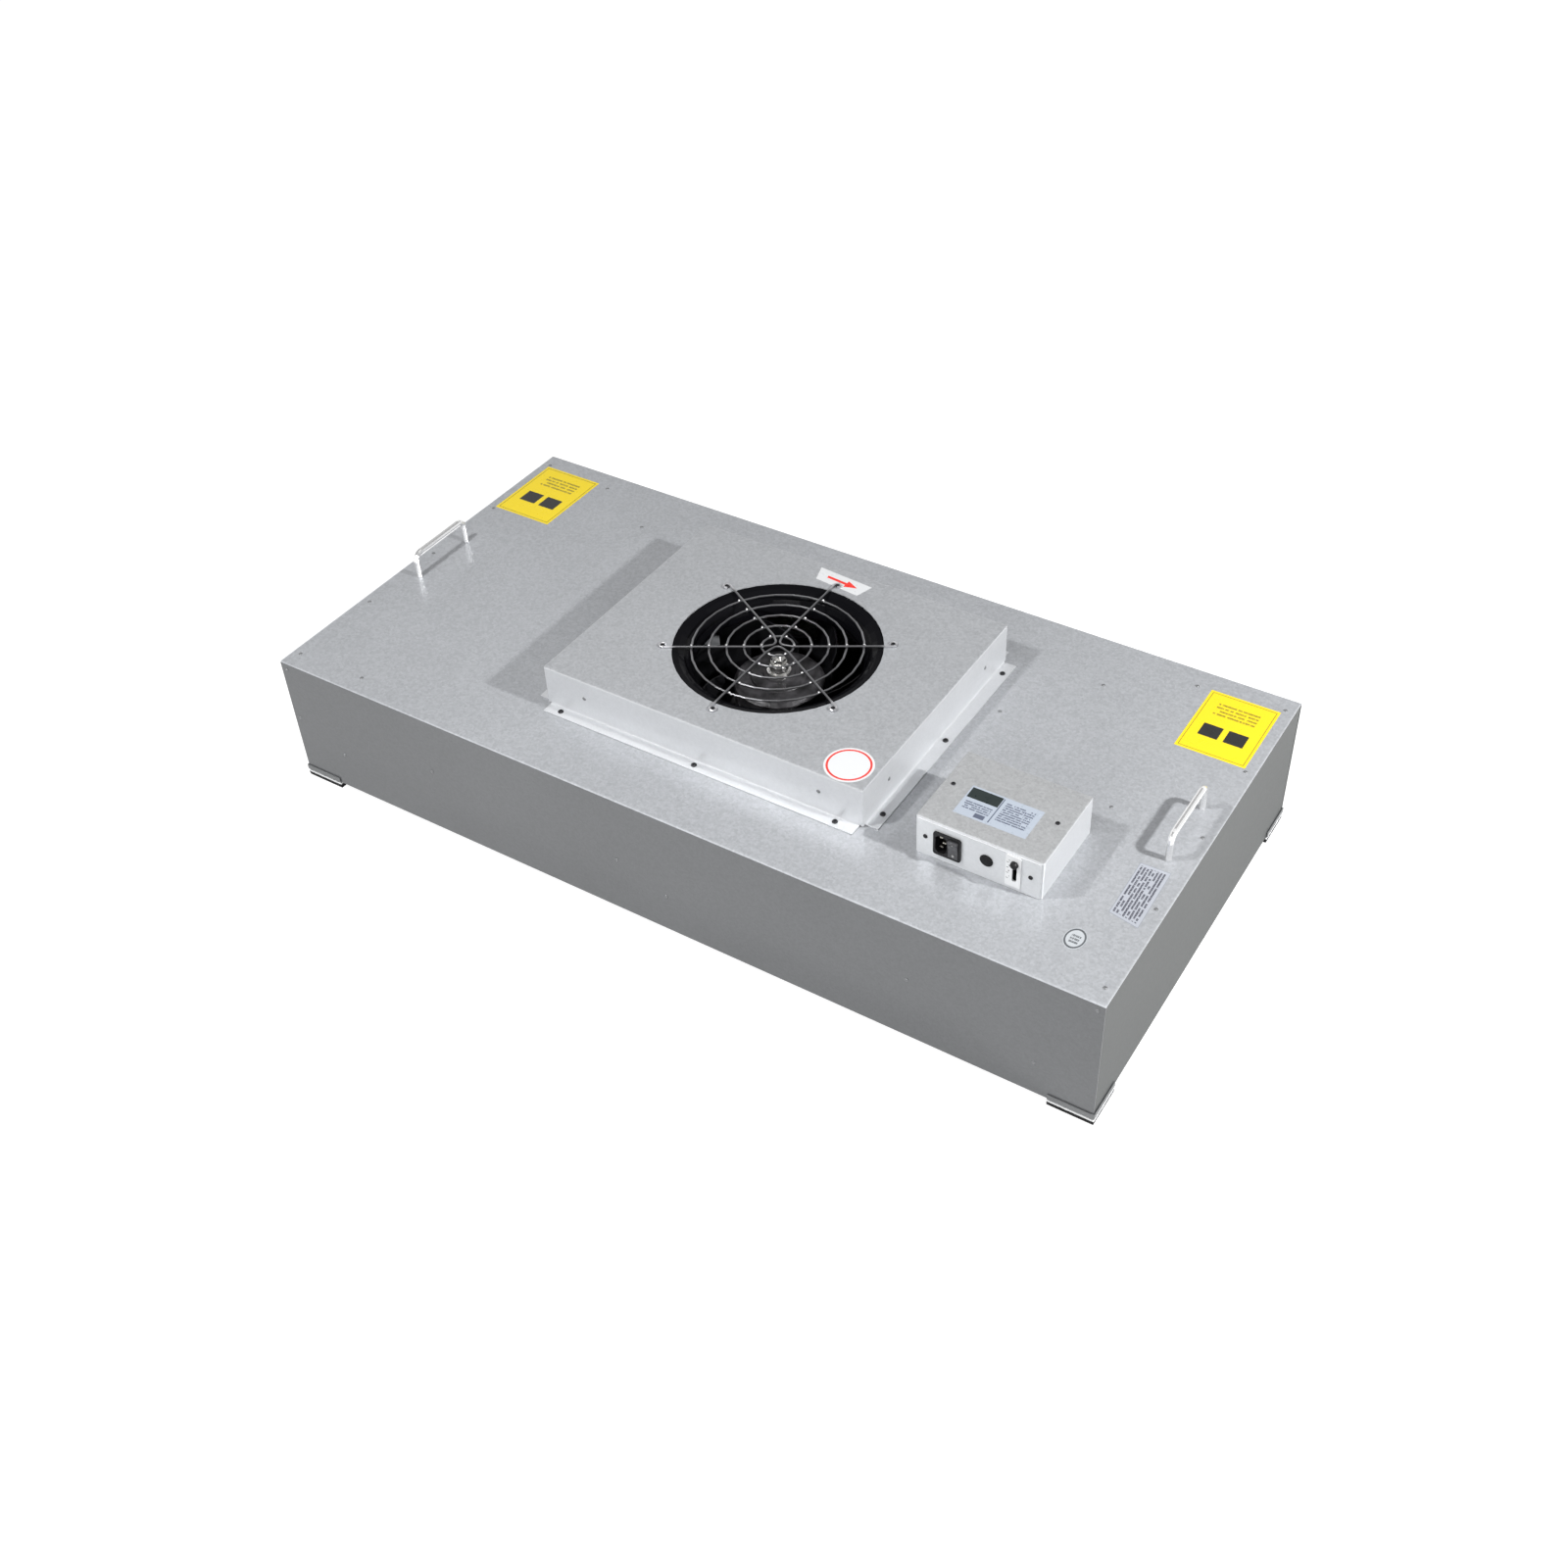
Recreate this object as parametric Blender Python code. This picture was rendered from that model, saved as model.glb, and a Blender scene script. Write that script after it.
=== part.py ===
"""Fan filter unit for a 1200 x 600 mm clean room ceiling grid, lying on its four corner feet.

A folded sheet housing holds a pleated filter at its open underside. A fan module hangs in the opening of the
top: a raised inlet box with a bell mouth and a wire finger guard, and below it a motor plate on four hangers
with an outer rotor motor and a backward-curved impeller. The electric box stands beside it on the top sheet.

Metres, +Z up. The origin is under the middle of the unit, on the plane that the feet stand on. The long side
runs along X, and the electric box faces -Y.
"""

import math

import bmesh
import bpy
from mathutils import Matrix, Vector

# Clearance between neighbouring pieces that touch on the real unit
SEAM = 0.0003

# How far a cutting tool reaches past the face that it opens, and the flat left between two full roundings
CUT_REACH = 0.010
FLAT_LEFT = 0.0001

# Housing
HOUSING_LENGTH = 1.175
HOUSING_WIDTH = 0.575
HOUSING_HEIGHT = 0.186
HOUSING_SHEET = 0.0012
FOLD_RADIUS = 0.0016
END_FLANGE = 0.024
END_NOTCH = 0.003
OPENING_CORNER = 0.008

# Corner brackets and feet
BRACKET_SHEET = 0.0012
BRACKET_LEG_X = 0.057
BRACKET_LEG_Y = 0.054
BRACKET_UPSTAND = 0.008
BRACKET_SHELF = 0.026
BRACKET_BEND = 0.002
FOOT_HEIGHT = 0.0082
FOOT_EDGE = 0.0026
FOOT_INSET = 0.003
FOOT_DRAFT = 0.0008

# Filter
FILTER_HEIGHT = 0.069
FILTER_PLAY = 0.001
FRAME_WALL = 0.0016
FRAME_FLANGE = 0.018
PLEAT_PITCH = 0.015
PLEAT_DEPTH = 0.050
PLEAT_SHEET = 0.0007
GASKET_HEIGHT = 0.005
GASKET_WIDTH = 0.014
GASKET_INSET = 0.002
GUARD_BARS_X = 12
GUARD_BARS_Y = 6
GUARD_BAR = 0.003
GUARD_SHEET = 0.0012
LEDGE_SHEET = 0.0012
LEDGE_SHELF = 0.022
LEDGE_WALL = 0.014
LINER = 0.012

# Inlet box on the top
INLET_LENGTH = 0.460
INLET_WIDTH = 0.360
INLET_HEIGHT = 0.0575
INLET_SHEET = 0.0012
INLET_FLANGE = 0.017
INLET_NOTCH = 0.005
INLET_HOLE_RADIUS = 0.133
LEDGE_UNDER_BOX = 0.008

# Bell mouth
BELL_SHEET = 0.0012
BELL_FLANGE_RADIUS = 0.150
BELL_RADIUS = 0.0245
BELL_NECK = 0.0065

# Finger guard
GUARD_WIRE = 0.0014
GUARD_WELD = 0.0004
GUARD_FIRST_RING = 0.0205
GUARD_RING_PITCH = 0.022
GUARD_RINGS = 5
GUARD_SCREW_CIRCLE = 0.1445
GUARD_EYE_RADIUS = 0.0042
GUARD_BEND = 0.0075
GUARD_BEND_OUT = 0.011625
GUARD_LEG_START = 0.0195
EYE_TURN = math.radians(250.0)
HAIRPIN_TURN = math.radians(75.0)
GUARD_HAIRPINS = 3

# Impeller, motor
BLADES = 7
WHEEL_RADIUS = 0.155
WHEEL_SHEET = 0.0015
WHEEL_DEPTH = 0.1050
OUTLET_WIDTH = 0.0515
EYE_PLAY = 0.0028
EYE_OVERLAP = 0.008
EYE_LIP = 0.006
BLADE_SHEET = 0.0017
BLADE_INNER_RADIUS = 0.071
BLADE_OUTER_RADIUS = 0.152
BLADE_INNER_HEIGHT = 0.054
BLADE_EYE_HEIGHT = 0.0665
BLADE_SWEEP = math.radians(52.0)
BLADE_CURVE = 1.35
BLADE_STATIONS = 8
ROTOR_RADIUS = 0.058
ROTOR_FACE_DEPTH = 0.050
ROTOR_DISH = 0.0095
ROTOR_WALL = 0.003
ROTOR_FLANGE_RADIUS = 0.068
ROTOR_FLANGE = 0.0025
ROTOR_HUB_RADIUS = 0.020
ROTOR_HUB_DROP = 0.0022
ROTOR_STEP_RADIUS = 0.036
ROTOR_STEP_DROP = 0.0045
ROTOR_RIM_DROP = 0.006
ROTOR_GROOVE = 0.001
ROTOR_CORNER_RUN = 0.005
ROTOR_CORNER_DROP = 0.004
AIR_GAP = 0.001
BOSS_RADIUS = 0.0125
BOSS_HEIGHT = 0.0145
BOSS_CHAMFER = 0.0015
BOSS_FOOT = 0.003
BOSS_FOOT_SLOPE = 0.001
BOSS_CENTRE_RADIUS = 0.004
BOSS_CENTRE_SLOPE = 0.0005
BOSS_CENTRE_DEPTH = 0.001
SHAFT_RADIUS = 0.005
SHAFT_LIFT = 0.0005
BEARING_RADIUS = 0.011
BEARING_WIDTH = 0.007
BEARING_SHELF = 0.003
STATOR_FLANGE_RADIUS = 0.050
STATOR_FLANGE = 0.0065
STATOR_NECK_RADIUS = 0.028
CORE_HEIGHT = 0.026
CORE_LIFT = 0.004
WINDING_HEIGHT = 0.008
WINDING_ROOM = 0.001
WINDING_ROUND = 0.003
WINDING_INNER_RADIUS = 0.030
WINDING_OUTER_RADIUS = 0.049

# Motor plate and hangers
PLATE_SHEET = 0.0015
PLATE_DEPTH = 0.1202
PLATE_FLANGE = 0.012
PLATE_NOTCH = 0.010
PLATE_PLAY = 0.004
HANGER_SHEET = 0.0015
HANGER_WIDTH = 0.030
HANGER_FOOT = 0.020
HANGER_X = 0.170
HANGER_BEND = 0.003

# Bow handles
HANDLE_SETBACK = 0.0325
HANDLE_Y = -0.003
HANDLE_SPAN = 0.098
HANDLE_RISE = 0.0355
HANDLE_ROD = 0.004
HANDLE_BEND = 0.010
HANDLE_SCREW_RADIUS = 0.005
HANDLE_SCREW_HEIGHT = 0.003

# Electric box
BOX_GAP = 0.053
BOX_FRONT = -0.182
BOX_LENGTH = 0.160
BOX_DEPTH = 0.1265
BOX_HEIGHT = 0.055
BOX_SHEET = 0.0012
BOX_FRONT_RIM = 0.014
PANEL_SHEET = 0.0012
PANEL_RIM = 0.0025
STRIP_WIDTH = 0.052
STRIP_SHEET = 0.0012
STRIP_TAB = 0.022
STRIP_SETBACK = 0.067
STRIP_BEND = 0.002

# Power inlet with its rocker, placed from the middle of the box
INLET_MODULE_OFFSET = -0.0383
INLET_MODULE_Z = 0.0265
BEZEL_LENGTH = 0.0350
BEZEL_HEIGHT = 0.0334
BEZEL_CORNER = 0.003
BEZEL_SHEET = 0.0022
MODULE_LENGTH = 0.0320
MODULE_HEIGHT = 0.0300
MODULE_DEPTH = 0.024
MODULE_CORNER = 0.001
SOCKET_LENGTH = 0.0146
SOCKET_HEIGHT = 0.026
SOCKET_CORNER = 0.004
SOCKET_DEPTH = 0.017
PIN_LENGTH = 0.012
PIN_THICKNESS = 0.002
PIN_WIDTH = 0.004
PIN_SPREAD = 0.007
EARTH_OFFSET = 0.004
ROCKER_SLOT_LENGTH = 0.0130
ROCKER_SLOT_HEIGHT = 0.0268
ROCKER_SLOT_DEPTH = 0.013
ROCKER_SLOT_CORNER = 0.0005
ROCKER_REACH = 0.0124
ROCKER_REACH_SLOPE = 0.0004
ROCKER_DISH = 0.0030
ROCKER_WAIST = 0.0036
ROCKER_TIP = 0.0052
ROCKER_CHEEK = 0.0020
ROCKER_BACK = 0.0050
ROCKER_BACK_HALF = 0.0070
ROCKER_PIVOT_DEPTH = 0.0025
ROCKER_PLAY = 0.0004
ROCKER_TILT = math.radians(8.0)
MODULE_WALL = 0.0014

# Hole plug and speed switch, placed from the middle of the box
PLUG_OFFSET = 0.0107
PLUG_Z = 0.028
PLUG_RADIUS = 0.0083
PLUG_HEAD = 0.0022
PLUG_EDGE = 0.0006
PLUG_RIM = 0.0004
PLUG_BARREL_RADIUS = 0.0066
PLUG_BARREL = 0.007
SPEED_OFFSET = 0.046
SPEED_TOP_Z = 0.040
SPEED_STEP = 0.008
SPEED_STEPS = 4
SPEED_SLOT_LENGTH = 0.0056
SPEED_PLATE_LENGTH = 0.0192
SPEED_PLATE_HEIGHT = 0.0462
SPEED_PLATE_SHEET = 0.0008
SPEED_PLATE_CORNER = 0.001
SPEED_PLATE_OFFSET = -0.0018
KNOB_RADIUS = 0.0048
KNOB_HEAD = 0.0045
KNOB_STEM_RADIUS = 0.0022
KNOB_STEM = 0.008
KNOB_GAP = 0.0005
SWITCH_LENGTH = 0.014
SWITCH_HEIGHT = 0.038
SWITCH_DEPTH = 0.018
SWITCH_CHANNEL_DEPTH = 0.010

# Inside the electric box, placed from its middle and its back
CAPACITOR_RADIUS = 0.015
CAPACITOR_LENGTH = 0.062
CAPACITOR_OFFSET = 0.032
CAPACITOR_RIM = 0.0015
CLAMP_SHEET = 0.001
CLAMP_WIDTH = 0.012
CLAMP_FOOT = 0.007
CLAMP_BEND = 0.0015
TERMINAL_OFFSET = -0.034
TERMINAL_LENGTH = 0.036
TERMINAL_DEPTH = 0.018
TERMINAL_HEIGHT = 0.016
TERMINAL_WAYS = 4
TERMINAL_SHOULDER = 0.004
WELL_RADIUS = 0.0028
WELL_DEPTH = 0.006
GROMMET_OFFSET = -0.050
GROMMET_SETBACK = 0.0195
GROMMET_RADIUS = 0.0085
GROMMET_HOLE_RADIUS = 0.0065
GROMMET_LIP = 0.0018
GROMMET_EDGE = 0.0006
LEAD_RADIUS = 0.0035
LEAD_STUB = 0.004
LEAD_RISE_ARM = 0.012
LEAD_DROP_ARM = 0.014
LEAD_FALL_ARM = 0.025
LEAD_LANDING_ARM = 0.060
LEAD_RUN_ARM = 0.040
LEAD_OVER = 0.006
LEAD_UNDER = 0.008
LEAD_LANDING_INSET = 0.034
LEAD_LANDING_Y = -0.010
LEAD_SLANT = 0.12

# Heights and faces that follow from the sizes above
BRACKET_TOP = FOOT_HEIGHT + SEAM + BRACKET_SHEET
HOUSING_BOTTOM = BRACKET_TOP + SEAM
HOUSING_TOP = HOUSING_BOTTOM + HOUSING_HEIGHT
TOP_UNDERSIDE = HOUSING_TOP - HOUSING_SHEET
END_FACE = HOUSING_LENGTH / 2 - SEAM
END_INNER = END_FACE - HOUSING_SHEET
WALL_INNER = HOUSING_WIDTH / 2 - HOUSING_SHEET
TRAY_HALF = WALL_INNER - SEAM
LEDGE_HALF_X = END_INNER - SEAM
LEDGE_HALF_Y = TRAY_HALF - HOUSING_SHEET - SEAM
FILTER_TOP = HOUSING_BOTTOM + FILTER_HEIGHT
GASKET_BOTTOM = FILTER_TOP + SEAM
LEDGE_BOTTOM = GASKET_BOTTOM + GASKET_HEIGHT + SEAM
OPENING_HALF_X = INLET_LENGTH / 2 - LEDGE_UNDER_BOX
OPENING_HALF_Y = INLET_WIDTH / 2 - LEDGE_UNDER_BOX
INLET_TOP = HOUSING_TOP + INLET_HEIGHT
INLET_UNDERSIDE = INLET_TOP - INLET_SHEET
BELL_TOP = INLET_UNDERSIDE - SEAM
BELL_LIP_RADIUS = INLET_HOLE_RADIUS - SEAM
THROAT_RADIUS = BELL_LIP_RADIUS - BELL_RADIUS
BELL_END = BELL_TOP - BELL_RADIUS - BELL_NECK
EYE_RADIUS = THROAT_RADIUS + BELL_SHEET + EYE_PLAY
EYE_TOP = BELL_END + EYE_OVERLAP
WHEEL_BOTTOM = INLET_TOP - WHEEL_DEPTH - WHEEL_SHEET
WHEEL_FLOOR = WHEEL_BOTTOM + WHEEL_SHEET
SHROUD_BOTTOM = WHEEL_FLOOR + OUTLET_WIDTH
PLATE_TOP = INLET_TOP - PLATE_DEPTH
STATOR_BOTTOM = PLATE_TOP + SEAM
ROTOR_FACE = INLET_TOP - ROTOR_FACE_DEPTH
BOX_BOTTOM = HOUSING_TOP + SEAM
BOX_TOP = HOUSING_TOP + BOX_HEIGHT
PANEL_BACK = BOX_FRONT + PANEL_SHEET
COVER_FRONT = PANEL_BACK + SEAM
COVER_BACK = BOX_FRONT + BOX_DEPTH
BOX_X = INLET_LENGTH / 2 + INLET_FLANGE + BOX_GAP + BOX_LENGTH / 2
HANDLE_X = HOUSING_LENGTH / 2 - HANDLE_SETBACK
INLET_MODULE_X = BOX_X + INLET_MODULE_OFFSET
PLUG_X = BOX_X + PLUG_OFFSET
SPEED_X = BOX_X + SPEED_OFFSET
SPEED_TRAVEL = SPEED_STEP * (SPEED_STEPS - 1)
SPEED_MIDDLE_Z = HOUSING_TOP + SPEED_TOP_Z - SPEED_TRAVEL / 2
CAPACITOR_X = BOX_X + CAPACITOR_OFFSET
TERMINAL_X = BOX_X + TERMINAL_OFFSET
GROMMET_X = BOX_X + GROMMET_OFFSET
GROMMET_Y = COVER_BACK - GROMMET_SETBACK
STRIP_Y = BOX_FRONT + STRIP_SETBACK
STRIP_TOP = BOX_BOTTOM + STRIP_SHEET


def clear_scene():
    """Remove every object, mesh and material that the file starts with."""
    for thing in list(bpy.data.objects):
        bpy.data.objects.remove(thing, do_unlink=True)
    for mesh in list(bpy.data.meshes):
        bpy.data.meshes.remove(mesh)
    for look in list(bpy.data.materials):
        bpy.data.materials.remove(look)


def finish(name, colour, roughness, metallic):
    """A plain Principled material."""
    look = bpy.data.materials.new(name)
    look.use_nodes = True
    shader = look.node_tree.nodes["Principled BSDF"]
    shader.inputs["Base Color"].default_value = (*colour, 1.0)
    shader.inputs["Roughness"].default_value = roughness
    shader.inputs["Metallic"].default_value = metallic
    look.diffuse_color = (*colour, 1.0)
    return look


def closed_mesh(name, vertices, faces):
    """A mesh from points and faces, with its faces turned outwards and round stretches shaded smooth."""
    mesh = bpy.data.meshes.new(name)
    mesh.from_pydata([tuple(v) for v in vertices], [], faces)
    shell = bmesh.new()
    shell.from_mesh(mesh)
    bmesh.ops.recalc_face_normals(shell, faces=shell.faces)
    shell.to_mesh(mesh)
    shell.free()
    shade(mesh)
    return mesh


def shade(mesh):
    """Smooth shading, broken at real edges."""
    mesh.shade_smooth()
    mesh.set_sharp_from_angle(angle=math.radians(32.0))


def put(name, mesh, look, location=(0.0, 0.0, 0.0), rotation=(0.0, 0.0, 0.0)):
    """Place a mesh in the scene as the named piece."""
    piece = bpy.data.objects.new(name, mesh)
    bpy.context.scene.collection.objects.link(piece)
    if look:
        mesh.materials.append(look)
    piece.location = location
    piece.rotation_euler = rotation
    return piece


def boolean(piece, tool, operation):
    """Cut, join or intersect a piece with a tool, which stays in the file as a wire guide."""
    tool.hide_render = True
    tool.display_type = "WIRE"
    step = piece.modifiers.new(operation.lower(), "BOOLEAN")
    step.operation = operation
    step.solver = "EXACT"
    step.object = tool


def cut(piece, tool):
    boolean(piece, tool, "DIFFERENCE")


def join(piece, tool):
    boolean(piece, tool, "UNION")


def in_plane(plane, u, v, w):
    """A point from two coordinates in a named plane and one across it."""
    if plane == "XY":
        return Vector((u, v, w))
    if plane == "XZ":
        return Vector((u, w, v))
    return Vector((w, u, v))


def arc(centre, radius, start, end, steps):
    """Points of an arc in a plane, both ends included, angles in degrees."""
    points = []
    for i in range(steps + 1):
        angle = math.radians(start + (end - start) * i / steps)
        points.append((centre[0] + radius * math.cos(angle), centre[1] + radius * math.sin(angle)))
    return points


def rounded_rectangle(centre, length, height, radius, steps=3):
    """Outline of a rectangle with round corners."""
    points = []
    for quarter, (sx, sy) in enumerate(((1, 1), (-1, 1), (-1, -1), (1, -1))):
        corner = (
            centre[0] + sx * (length / 2 - radius),
            centre[1] + sy * (height / 2 - radius),
        )
        points += arc(corner, radius, 90 * quarter, 90 * quarter + 90, steps)
    return points


def prism(name, outline, low, high, plane="XY"):
    """An outline in a plane, given a length across it."""
    count = len(outline)
    vertices = [in_plane(plane, u, v, low) for u, v in outline]
    vertices += [in_plane(plane, u, v, high) for u, v in outline]
    faces = [tuple(range(count)), tuple(range(count, 2 * count))]
    faces += [(i, (i + 1) % count, count + (i + 1) % count, count + i) for i in range(count)]
    return closed_mesh(name, vertices, faces)


def block(name, low, high):
    """A straight-sided block between two corners."""
    outline = [(low[0], low[1]), (high[0], low[1]), (high[0], high[1]), (low[0], high[1])]
    return prism(name, outline, low[2], high[2])


def bent_line(path, steps=3):
    """Points and left-hand normals along a bent line. Each inner corner has its own bend radius."""
    points = [Vector(corner[:2]) for corner in path]
    first = (points[1] - points[0]).normalized()
    stations = [(points[0], Vector((-first.y, first.x)))]
    for i in range(1, len(path) - 1):
        to_last = (points[i - 1] - points[i]).normalized()
        to_next = (points[i + 1] - points[i]).normalized()
        half = to_last.angle(to_next) / 2
        radius = path[i][2]
        side = 1.0 if to_next.x * to_last.y - to_next.y * to_last.x > 0 else -1.0
        centre = points[i] + (to_last + to_next).normalized() * radius / math.sin(half)
        spoke = points[i] + to_last * radius / math.tan(half) - centre
        turn = side * (math.pi - 2 * half)
        for k in range(steps + 1):
            arm = Matrix.Rotation(turn * k / steps, 2) @ spoke
            stations.append((centre + arm, -side * arm.normalized()))
    last = (points[-1] - points[-2]).normalized()
    stations.append((points[-1], Vector((-last.y, last.x))))
    return stations


def folded_strip(name, path, sheet, low, high, plane, steps=3):
    """A strip of sheet folded along the middle line of its section, which lies in the named plane."""
    stations = bent_line(path, steps)
    vertices = []
    for point, normal in stations:
        for side in (0.5, -0.5):
            edge = point + normal * sheet * side
            vertices.append(in_plane(plane, edge.x, edge.y, low))
            vertices.append(in_plane(plane, edge.x, edge.y, high))
    faces = []
    for i in range(len(stations) - 1):
        a, b = 4 * i, 4 * i + 4
        faces += [(a, b, b + 1, a + 1), (a + 2, a + 3, b + 3, b + 2)]
        faces += [(a, a + 2, b + 2, b), (a + 1, b + 1, b + 3, a + 3)]
    end = 4 * (len(stations) - 1)
    faces += [(0, 1, 3, 2), (end, end + 2, end + 3, end + 1)]
    return closed_mesh(name, vertices, faces)


def turned(name, outline, steps):
    """A profile of radii and heights, spun once round Z."""
    shell = bmesh.new()
    ring = [shell.verts.new((radius, 0.0, height)) for radius, height in outline]
    edges = [shell.edges.new((a, b)) for a, b in zip(ring, ring[1:])]
    if outline[0][0] > 0.0:
        edges.append(shell.edges.new((ring[-1], ring[0])))
    once = {"cent": (0, 0, 0), "axis": (0, 0, 1), "angle": 2 * math.pi, "steps": steps, "use_merge": True}
    bmesh.ops.spin(shell, geom=ring + edges, **once)
    bmesh.ops.remove_doubles(shell, verts=shell.verts, dist=0.000001)
    bmesh.ops.recalc_face_normals(shell, faces=shell.faces)
    mesh = bpy.data.meshes.new(name)
    shell.to_mesh(mesh)
    shell.free()
    shade(mesh)
    return mesh


def wire(name, points, radius, sides, closed=False):
    """A round wire along points, its section carried without twist."""
    count = len(points)
    normal = Vector((0.0, 0.0, 1.0))
    vertices = []
    for i, point in enumerate(points):
        before = points[i - 1] if closed or i else point
        after = points[(i + 1) % count] if closed or i < count - 1 else point
        along = (after - before).normalized()
        normal = (normal - along * normal.dot(along)).normalized()
        across = along.cross(normal)
        leg_in = (point - before).normalized() if (point - before).length else along
        widen = 1.0 / max(0.5, along.dot(leg_in))
        for k in range(sides):
            angle = 2 * math.pi * (k + 0.5) / sides
            lift = normal * math.sin(angle) * radius
            spread = across * math.cos(angle) * radius * (widen if abs(along.z) < 0.99 else 1.0)
            vertices.append(point + lift + spread)
    faces = []
    for i in range(count if closed else count - 1):
        a, b = sides * i, sides * ((i + 1) % count)
        for k in range(sides):
            m = (k + 1) % sides
            faces.append((a + k, a + m, b + m, b + k))
    if not closed:
        faces += [tuple(range(sides)), tuple(range(sides * (count - 1), sides * count))]
    return closed_mesh(name, vertices, faces)


def mitred_ring(name, profile, half_x, half_y):
    """A section of outward offsets and heights carried round a rectangle, with mitred corners."""
    corners = ((1, 1), (-1, 1), (-1, -1), (1, -1))
    count = len(profile)
    vertices = []
    for sx, sy in corners:
        vertices += [Vector((sx * (half_x + out), sy * (half_y + out), z)) for out, z in profile]
    faces = []
    for i in range(4):
        a, b = count * i, count * ((i + 1) % 4)
        faces += [(a + k, a + (k + 1) % count, b + (k + 1) % count, b + k) for k in range(count)]
    return closed_mesh(name, vertices, faces)


def mitred_corner(name, profile, half_x, half_y, sx, sy, leg_x, leg_y):
    """The same section carried round one corner only, with two straight legs."""
    count = len(profile)
    vertices = []
    for out, z in profile:
        vertices.append(Vector((sx * (half_x + out), sy * (half_y - leg_y), z)))
    for out, z in profile:
        vertices.append(Vector((sx * (half_x + out), sy * (half_y + out), z)))
    for out, z in profile:
        vertices.append(Vector((sx * (half_x - leg_x), sy * (half_y + out), z)))
    faces = [tuple(range(count)), tuple(range(2 * count, 3 * count))]
    for a in (0, count):
        b = a + count
        faces += [(a + k, a + (k + 1) % count, b + (k + 1) % count, b + k) for k in range(count)]
    return closed_mesh(name, vertices, faces)


def sheet_piece(name, vertices, faces, sheet, fold, look, fold_steps=2):
    """An open surface of flat sheets: its folds are rounded, then it gets its thickness on the inside."""
    mesh = bpy.data.meshes.new(name)
    mesh.from_pydata([tuple(v) for v in vertices], [], faces)
    shade(mesh)
    piece = put(name, mesh, look)
    rounding = piece.modifiers.new("folds", "BEVEL")
    rounding.width = fold
    rounding.segments = fold_steps
    rounding.limit_method = "ANGLE"
    rounding.angle_limit = math.radians(40.0)
    thicken = piece.modifiers.new("sheet", "SOLIDIFY")
    thicken.thickness = sheet
    thicken.offset = -1.0
    thicken.use_even_offset = True
    return piece


def flanged_plate(name, half_u, half_v, depths, notch, sheet, fold, look):
    """A plate facing +Z with edge flanges folded down and corners cut off between them.

    The depths are those of the flanges on its +u, +v, -u and -v side, 0 for a plain edge.
    """
    corners = [(half_u, -half_v), (half_u, half_v), (-half_u, half_v), (-half_u, -half_v)]
    outline = []
    flanges = []
    for i, depth in enumerate(depths):
        start, end = Vector(corners[i]), Vector(corners[(i + 1) % 4])
        along = (end - start).normalized()
        if depth == 0.0 or depths[i - 1] == 0.0:
            outline.append(Vector((*start, 0.0)))
        if depth > 0.0:
            first = len(outline)
            outline.append(Vector((*(start + along * notch), 0.0)))
            outline.append(Vector((*(end - along * notch), 0.0)))
            flanges.append((first, first + 1, depth))
    vertices = list(outline)
    faces = [tuple(range(len(outline)))]
    for a, b, depth in flanges:
        low = len(vertices)
        vertices += [vertices[a] - Vector((0, 0, depth)), vertices[b] - Vector((0, 0, depth))]
        faces.append((a, low, low + 1, b))
    return sheet_piece(name, vertices, faces, sheet, fold, look)


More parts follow.
